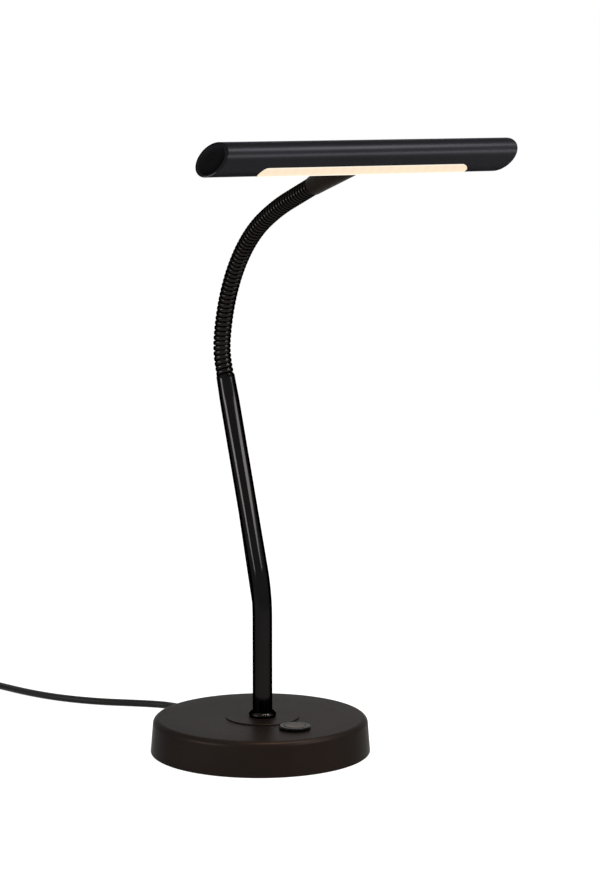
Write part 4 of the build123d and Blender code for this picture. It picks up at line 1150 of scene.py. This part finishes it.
def sleeve_ring(radius, distance=None, flare=0.0):
    """A ring of the sleeve at a distance behind the tube's axis, or where it meets the tube."""
    ring = []
    for step in range(SLEEVE_SIDES):
        angle = 2 * pi * step / SLEEVE_SIDES
        place = HEAD_RADIUS if distance is None else distance
        # the flare makes the radius depend on the place, so the meeting is closed in on
        for attempt in range(6 if distance is None else 0):
            rise = (radius + flare * (hose_end_back - place)) * sin(angle)
            place = sqrt(HEAD_RADIUS**2 - rise**2) + MILLING_GAP
        reach = radius + flare * (hose_end_back - place)
        outward = sideways * cos(angle) + neck_up * sin(angle)
        ring.append(head_centre + back * place + outward * reach)
    return ring


def settle(piece, crease=None):
    """Turn a piece with modifiers into the plain mesh that they make of it."""
    ready = piece.evaluated_get(bpy.context.evaluated_depsgraph_get())
    piece.data = bpy.data.meshes.new_from_object(ready)
    piece.modifiers.clear()
    if crease:
        piece.data.set_sharp_from_angle(angle=radians(crease))


# A dark satin paint whose brown cast is painted warm light from the window's diodes.
satin_with_painted_warm_light = tint(31, 25, 20), tint(40, 33, 27)
sleeve_painted_warm_cast = powder_coat("sleeve_satin", *satin_with_painted_warm_light, 0.38, 0.000012, 0.75)
sleeve_rings = [
    sleeve_ring(HEAD_NIPPLE_RADIUS),
    sleeve_ring(SLEEVE_OUTSIDE, None, SLEEVE_FLARE),
    sleeve_ring(SLEEVE_OUTSIDE, SLEEVE_FRONT, SLEEVE_FLARE),
    sleeve_ring(SLEEVE_OUTSIDE, sleeve_end - SLEEVE_CHAMFER),
    sleeve_ring(SLEEVE_OUTSIDE - 0.5 * SLEEVE_CHAMFER, sleeve_end - 0.2 * SLEEVE_CHAMFER),
    sleeve_ring(SLEEVE_OUTSIDE - SLEEVE_CHAMFER, sleeve_end),
    sleeve_ring(SLEEVE_BORE, sleeve_end),
    sleeve_ring(SLEEVE_BORE, hose_end_back - SLEEVE_DEPTH),
    sleeve_ring(HEAD_NIPPLE_RADIUS, hose_end_back - SLEEVE_DEPTH),
]
sleeve = make_piece("neck_sleeve_turning", skin_rings(sleeve_rings, looped=True), sleeve_painted_warm_cast)

grub_axis = back.cross(-sideways) * cos(GRUB_TURN) - sideways * sin(GRUB_TURN)
grub_place = head_centre + back * GRUB_BACK
drill_profile = [(TAPPED_RADIUS, height) for height in TAPPED_REACH]
drill_rings = turned_rings(drill_profile, grub_place, grub_axis, GRUB_SIDES)
drill = make_piece("drill", skin_rings(drill_rings, looped=False), sleeve_painted_warm_cast)
tapped_hole = sleeve.modifiers.new("tapped_hole", "BOOLEAN")
tapped_hole.operation = "DIFFERENCE"
tapped_hole.solver = "EXACT"
tapped_hole.object = drill
settle(sleeve, 32)
bpy.data.objects.remove(drill)
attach(sleeve, "head")
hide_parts("neck_sleeve")

grub_low, grub_high = GRUB_REACH
grub_profile = [(GRUB_RADIUS - 0.0005, grub_low), (GRUB_RADIUS, grub_low + 0.0005)]
grub_profile += [(GRUB_RADIUS, grub_high - 0.0002), (GRUB_RADIUS - 0.0002, grub_high)]
grub_rings = turned_rings(grub_profile, grub_place, grub_axis, GRUB_SIDES)
for height in (grub_high, grub_high - GRUB_SOCKET_DEPTH):
    circle = turned_rings([(GRUB_SOCKET, height)], grub_place, grub_axis, GRUB_SIDES)[0]
    middle = grub_place + grub_axis * height
    hexagon = []
    for step, point in enumerate(circle):
        from_flat = 2 * pi * (step % (GRUB_SIDES / 6)) / GRUB_SIDES - pi / 6
        hexagon.append(middle + (point - middle) / cos(from_flat))
    grub_rings.append(hexagon)
screw_black = gloss_paint("screw_black", tint(40, 39, 38), tint(58, 57, 56), 0.3)
grub = make_piece("sleeve_set_screw", skin_rings(grub_rings, looped=False), screw_black)
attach(grub, "head")
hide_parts("grub_screw")


# ---------------------------------------------------------------- sleeve's fixing
# A hollow threaded tube joins the sleeve to the lamp tube, with a curved washer and a nut inside
# the tube. All are zinc-plated steel.

dress(zinc, "head_nipple", "saddle_washer", "head_nut")


# ---------------------------------------------------------------- lamp tube
# Aluminium tube, 25 mm across, anodised satin black. Both ends are sawn on a slant, and a long
# round-ended slot is milled along its underside for the window.

# for each side: where its end crosses the axis, its run along the tube per radius, and the angle
# above forward at which it reaches furthest to the right
END_CUTS = {-1: (-0.1245, 0.63, radians(50)), 1: (0.1233, 0.77, radians(42.5))}
CAP_FLANGE = 0.001
HEAD_WALL = 0.0015
SLOT_DROP = radians(62.5)   # of its middle, below forward
SLOT_HALF_LENGTH = 0.0895
SLOT_HALF_WIDTH = 0.0068
TUBE_SIDES = 144
SAME_POINT = 1e-6           # a slot's two edges meet at its tips


def around_head(angle):
    """A unit vector square to the tube, at an angle above the forward direction."""
    return Vector((0, -cos(angle), sin(angle)))


def end_place(side, angle, radius):
    """Where an end's slanted face lies along the tube, at an angle and a radius."""
    crossing, slope, furthest = END_CUTS[side]
    return crossing + slope * radius * cos(angle - furthest)


def slot_edge(x, half_length, half_width, radius):
    """Half the angle that a round-ended slot takes out of the tube's side at x."""
    straight = half_length - half_width
    over = abs(x) - straight
    if over <= 0:
        width = half_width
    elif over < half_width:
        width = sqrt(half_width**2 - over**2)
    else:
        width = 0.0
    return asin(width / radius)


def slot_stations(half_length, half_width):
    """Places along the slot, crowded at its round ends."""
    straight = half_length - half_width
    ends = [straight + half_width * sin(radians(90) * step / 14) for step in range(15)]
    middle = [straight * (2 * step / 12 - 1) for step in range(1, 12)]
    return [-x for x in reversed(ends)] + middle + ends


def head_point(angle, radius, along):
    """A point at an angle and a radius from the tube's axis, and so far along it."""
    return head_centre + around_head(angle) * radius + sideways * along


def head_skin(rows):
    """An open skin over rows of points around the tube's axis, with its faces turned outwards."""
    form = bmesh.new()
    rows = [[form.verts.new(point) for point in row] for row in rows]
    for low, high in zip(rows, rows[1:]):
        for corners in zip(low, high, high[1:], low[1:]):
            form.faces.new(corners)
    bmesh.ops.remove_doubles(form, verts=form.verts, dist=SAME_POINT)
    bmesh.ops.recalc_face_normals(form, faces=form.faces)
    outward = 0
    for face in form.faces:
        middle = face.calc_center_median()
        from_axis = middle - head_centre - sideways * (middle - head_centre).x
        outward += 1 if face.normal.dot(from_axis) > 0 else -1
    if outward < 0:
        bmesh.ops.reverse_faces(form, faces=form.faces)
    return form


def tube_rows():
    """Rows of points around the tube, open along the slot and slanted at its ends."""
    inner = SLOT_HALF_LENGTH + 0.002
    stations = [(x, 0) for x in slot_stations(SLOT_HALF_LENGTH, SLOT_HALF_WIDTH)]
    stations = [(-inner, -1), (-inner, 0)] + stations + [(inner, 0), (inner, 1)]
    rows = []
    for x, side in stations:
        gap = slot_edge(x, SLOT_HALF_LENGTH, SLOT_HALF_WIDTH, HEAD_RADIUS)
        row = []
        for step in range(TUBE_SIDES + 1):
            angle = -SLOT_DROP + gap + (2 * pi - 2 * gap) * step / TUBE_SIDES
            along = end_place(side, angle, HEAD_RADIUS) - side * CAP_FLANGE if side else x
            row.append(head_point(angle, HEAD_RADIUS, along))
        rows.append(row)
    return rows


def anodised(name, dark, light):
    """Black anodising over fine drawing lines that run along the tube."""
    finish = Finish(name)
    along_tube = {"Vector": finish.place, "Scale": (0.02, 1, 1)}
    stretched = finish.node("ShaderNodeMapping", {}, along_tube)
    lines = finish.noise(2400, 3, 0.6, stretched.outputs[0])
    cloud = finish.noise(20, 3)
    return finish.done(
        Base_Color=finish.between(cloud * 0.6 + lines * 0.4, dark, light),
        Metallic=0.36,
        Roughness=0.30 + 0.08 * (lines - 0.5) + 0.05 * (cloud - 0.5),
        Normal=finish.relief(lines, 0.000004),
        **{"Specular IOR Level": 0.0, "Specular Tint": (0.4, 0.4, 0.41, 1)},
    )


tube_black = anodised("tube_anodised", tint(29, 29, 31), tint(37, 37, 40))
tube = make_piece("lamp_tube_shell", head_skin(tube_rows()), tube_black, 40)
wall = tube.modifiers.new("wall", "SOLIDIFY")
wall.thickness = HEAD_WALL
wall.offset = -1
wall.use_even_offset = True
settle(tube, 40)
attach(tube, "head")
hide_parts("lamp_tube")


# ---------------------------------------------------------------- end caps
# Moulded plastic caps pushed into the tube's slanted ends: a flange flush with the tube, with a
# glossy rounded edge around a slightly sunken matt face.

CAP_EDGE_WIDTH = 0.0019
CAP_EDGE_DEPTH = 0.00085
CAP_GLOSS_WIDTH = 0.0026
CAP_GLOSS_FADE = 1 / 3000   # the width over which the gloss fades
CAP_FACE = -0.0008          # sunk below the slanted plane
CAP_PLUG = 0.007            # the part inside the tube
CAP_PLUG_WALL = 0.0015


def slanted_rings(profile, side):
    """Rings cut like the tube's ends: each profile point is a radius and an outward offset."""
    angles = [2 * pi * step / TUBE_SIDES for step in range(TUBE_SIDES)]
    return [
        [head_point(angle, radius, end_place(side, angle, radius) + side * out) for angle in angles]
        for radius, out in profile
    ]


def cap_finish():
    """Black plastic, polished around its rounded edge and fine-grained inside it."""
    finish = Finish("cap_plastic")
    across = finish.along("Y") - head_centre.y
    height = finish.along("Z") - head_centre.z
    from_axis = (across * across + height * height) ** 0.5
    edge = ((from_axis - HEAD_RADIUS + CAP_GLOSS_WIDTH) * (1 / CAP_GLOSS_FADE)).larger(0).smaller(1)
    grain = finish.noise(2800, 2)
    return finish.done(
        Base_Color=finish.between(edge, tint(19, 19, 20), tint(29, 29, 31)),
        Metallic=1.0,
        Roughness=0.5 - 0.4 * edge,
        Normal=finish.relief(grain * (1 - edge), 0.00001),
        **{"Specular Tint": (0, 0, 0, 1)},
    )


cap_black = cap_finish()
tube_bore = HEAD_RADIUS - HEAD_WALL
face_edge = HEAD_RADIUS - CAP_EDGE_WIDTH
quarter_circle = arc_points((0, 0), 1, 0, 90, 9)
cap_section = [
    (tube_bore - CAP_PLUG_WALL, -CAP_FLANGE - CAP_PLUG),
    (tube_bore - 0.0003, -CAP_FLANGE - CAP_PLUG),
    (tube_bore, -CAP_FLANGE - CAP_PLUG + 0.0004),
    (tube_bore, -CAP_FLANGE),
    (HEAD_RADIUS - 0.0002, -CAP_FLANGE),
    (HEAD_RADIUS, -CAP_FLANGE + 0.0002),
    *[(face_edge + CAP_EDGE_WIDTH * x, CAP_EDGE_DEPTH * (y - 1)) for x, y in quarter_circle],
    (face_edge - 0.0003, -0.0001),
    (face_edge - 0.0006, -0.0006),
    (face_edge - 0.0010, CAP_FACE),
    (0.005, CAP_FACE),
    (PINHOLE, CAP_FACE),
    (PINHOLE, -CAP_FLANGE - 0.001),
    (tube_bore - CAP_PLUG_WALL, -CAP_FLANGE - 0.001),
]
for side, node in ((-1, "end_cap_left"), (1, "end_cap_right")):
    cap_rings = slanted_rings(cap_section, side)
    end_cap = make_piece(f"{node}_moulding", skin_rings(cap_rings, looped=True), cap_black, 40)
    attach(end_cap, "head")
    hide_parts(node)


# ---------------------------------------------------------------- window
# Opal acrylic strip that fills the slot and stands a little proud of the tube. Twenty warm light
# diodes behind it show as soft spots, and its edges glow a little brighter.

WINDOW_GAP = 0.00035
WINDOW_PROUD = 0.0005
WINDOW_RIM = 0.0009         # rounded off at its edge
WINDOW_THICKNESS = 0.0025
WINDOW_STEPS = 24
LED_PITCH = 0.008
LIT_ABOVE = -0.0075         # of the tube's axis: over this height the upper edge glows
LIT_BELOW = -0.0122         # and under this one the lower edge


def window_rows():
    """Rows of points across the strip, between the slot's edges and rounded off at its rim."""
    half_length = SLOT_HALF_LENGTH - WINDOW_GAP
    half_width = SLOT_HALF_WIDTH - WINDOW_GAP
    rows = []
    for x in slot_stations(half_length, half_width):
        spread = slot_edge(x, half_length, half_width, HEAD_RADIUS)
        row = []
        for step in range(WINDOW_STEPS + 1):
            share = sin((2 * step / WINDOW_STEPS - 1) * pi / 2)
            from_rim = min((1 - abs(share)) * spread * HEAD_RADIUS, half_length - abs(x))
            rounding = WINDOW_RIM * (1 - min(from_rim / WINDOW_RIM, 1)) ** 2
            radius = HEAD_RADIUS + WINDOW_PROUD - rounding
            row.append(head_point(-SLOT_DROP + spread * share, radius, x))
        rows.append(row)
    return rows


def window_finish():
    """Lit opal acrylic: even and warm, with a soft brighter spot over each diode."""
    finish = Finish("opal_window")
    spot_wave = (finish.along("X") * (2 * pi / LED_PITCH)).cosine() * 0.5 + 0.5
    height = finish.along("Z") - head_centre.z
    upper_edge = ((height - LIT_ABOVE) * 1200).larger(0).smaller(1)
    lower_edge = ((LIT_BELOW - height) * 2500).larger(0).smaller(1)
    warm = finish.between(finish.noise(70, 2), tint(253, 223, 196), tint(251, 234, 201))
    spotted = finish.between(spot_wave * 0.4, warm, tint(255, 238, 214))
    lit = finish.between(upper_edge.larger(lower_edge) * 0.7, spotted, tint(255, 250, 236))
    return finish.done(
        Base_Color=(0.02, 0.02, 0.02, 1),
        Roughness=0.35,
        Emission_Color=lit,
        **{"Emission Strength": 0.98, "Specular IOR Level": 0.05},
    )


window = make_piece("light_window", head_skin(window_rows()), window_finish(), 60)
strip = window.modifiers.new("strip", "SOLIDIFY")
strip.thickness = WINDOW_THICKNESS
strip.offset = -1
settle(window)
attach(window, "head")
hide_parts("diffuser")


# ---------------------------------------------------------------- light strip
# Twenty warm diodes on a white board, stuck to a drawn aluminium strip that lies in the lamp
# tube behind the window. Their light leaves the window as one long soft source.

LAMP_LIGHT_GAP = 0.003      # in front of the tube's skin
LAMP_LIGHT_WIDTH = 0.01
LAMP_LIGHT_POWER = 1.4
LAMP_LIGHT_SPREAD = 130     # degrees


def lit_phosphor():
    """The diodes' yellow phosphor, alight."""
    finish = Finish("lit_phosphor")
    grain = finish.noise(4000, 2)
    return finish.done(
        Base_Color=finish.between(grain, tint(226, 190, 60), tint(238, 206, 86)),
        Roughness=0.5,
        Emission_Color=finish.between(grain, tint(255, 232, 190), tint(255, 240, 206)),
        **{"Emission Strength": 1.0},
    )


alloy_greys = tint(170, 172, 175), tint(198, 200, 203)
board_white = moulded_plastic("board_white", tint(222, 222, 218), tint(238, 238, 234), 0.42, 0.4)
dress(bare_metal("drawn_alloy", *alloy_greys, 0.36, stretch=(0.03, 1, 1)), "led_carrier")
dress(board_white, "led_board")
dress(lit_phosphor(), "led_chips")

lamp_light = soft_box(
    "lamp_light",
    place=head_point(-SLOT_DROP, HEAD_RADIUS + LAMP_LIGHT_GAP, 0),
    aim=head_point(-SLOT_DROP, 0.5, 0),
    size=(2 * SLOT_HALF_LENGTH, LAMP_LIGHT_WIDTH),
    power=LAMP_LIGHT_POWER,
    colour=(1.0, 0.72, 0.42),
    spread=LAMP_LIGHT_SPREAD,
)
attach(lamp_light, "head")
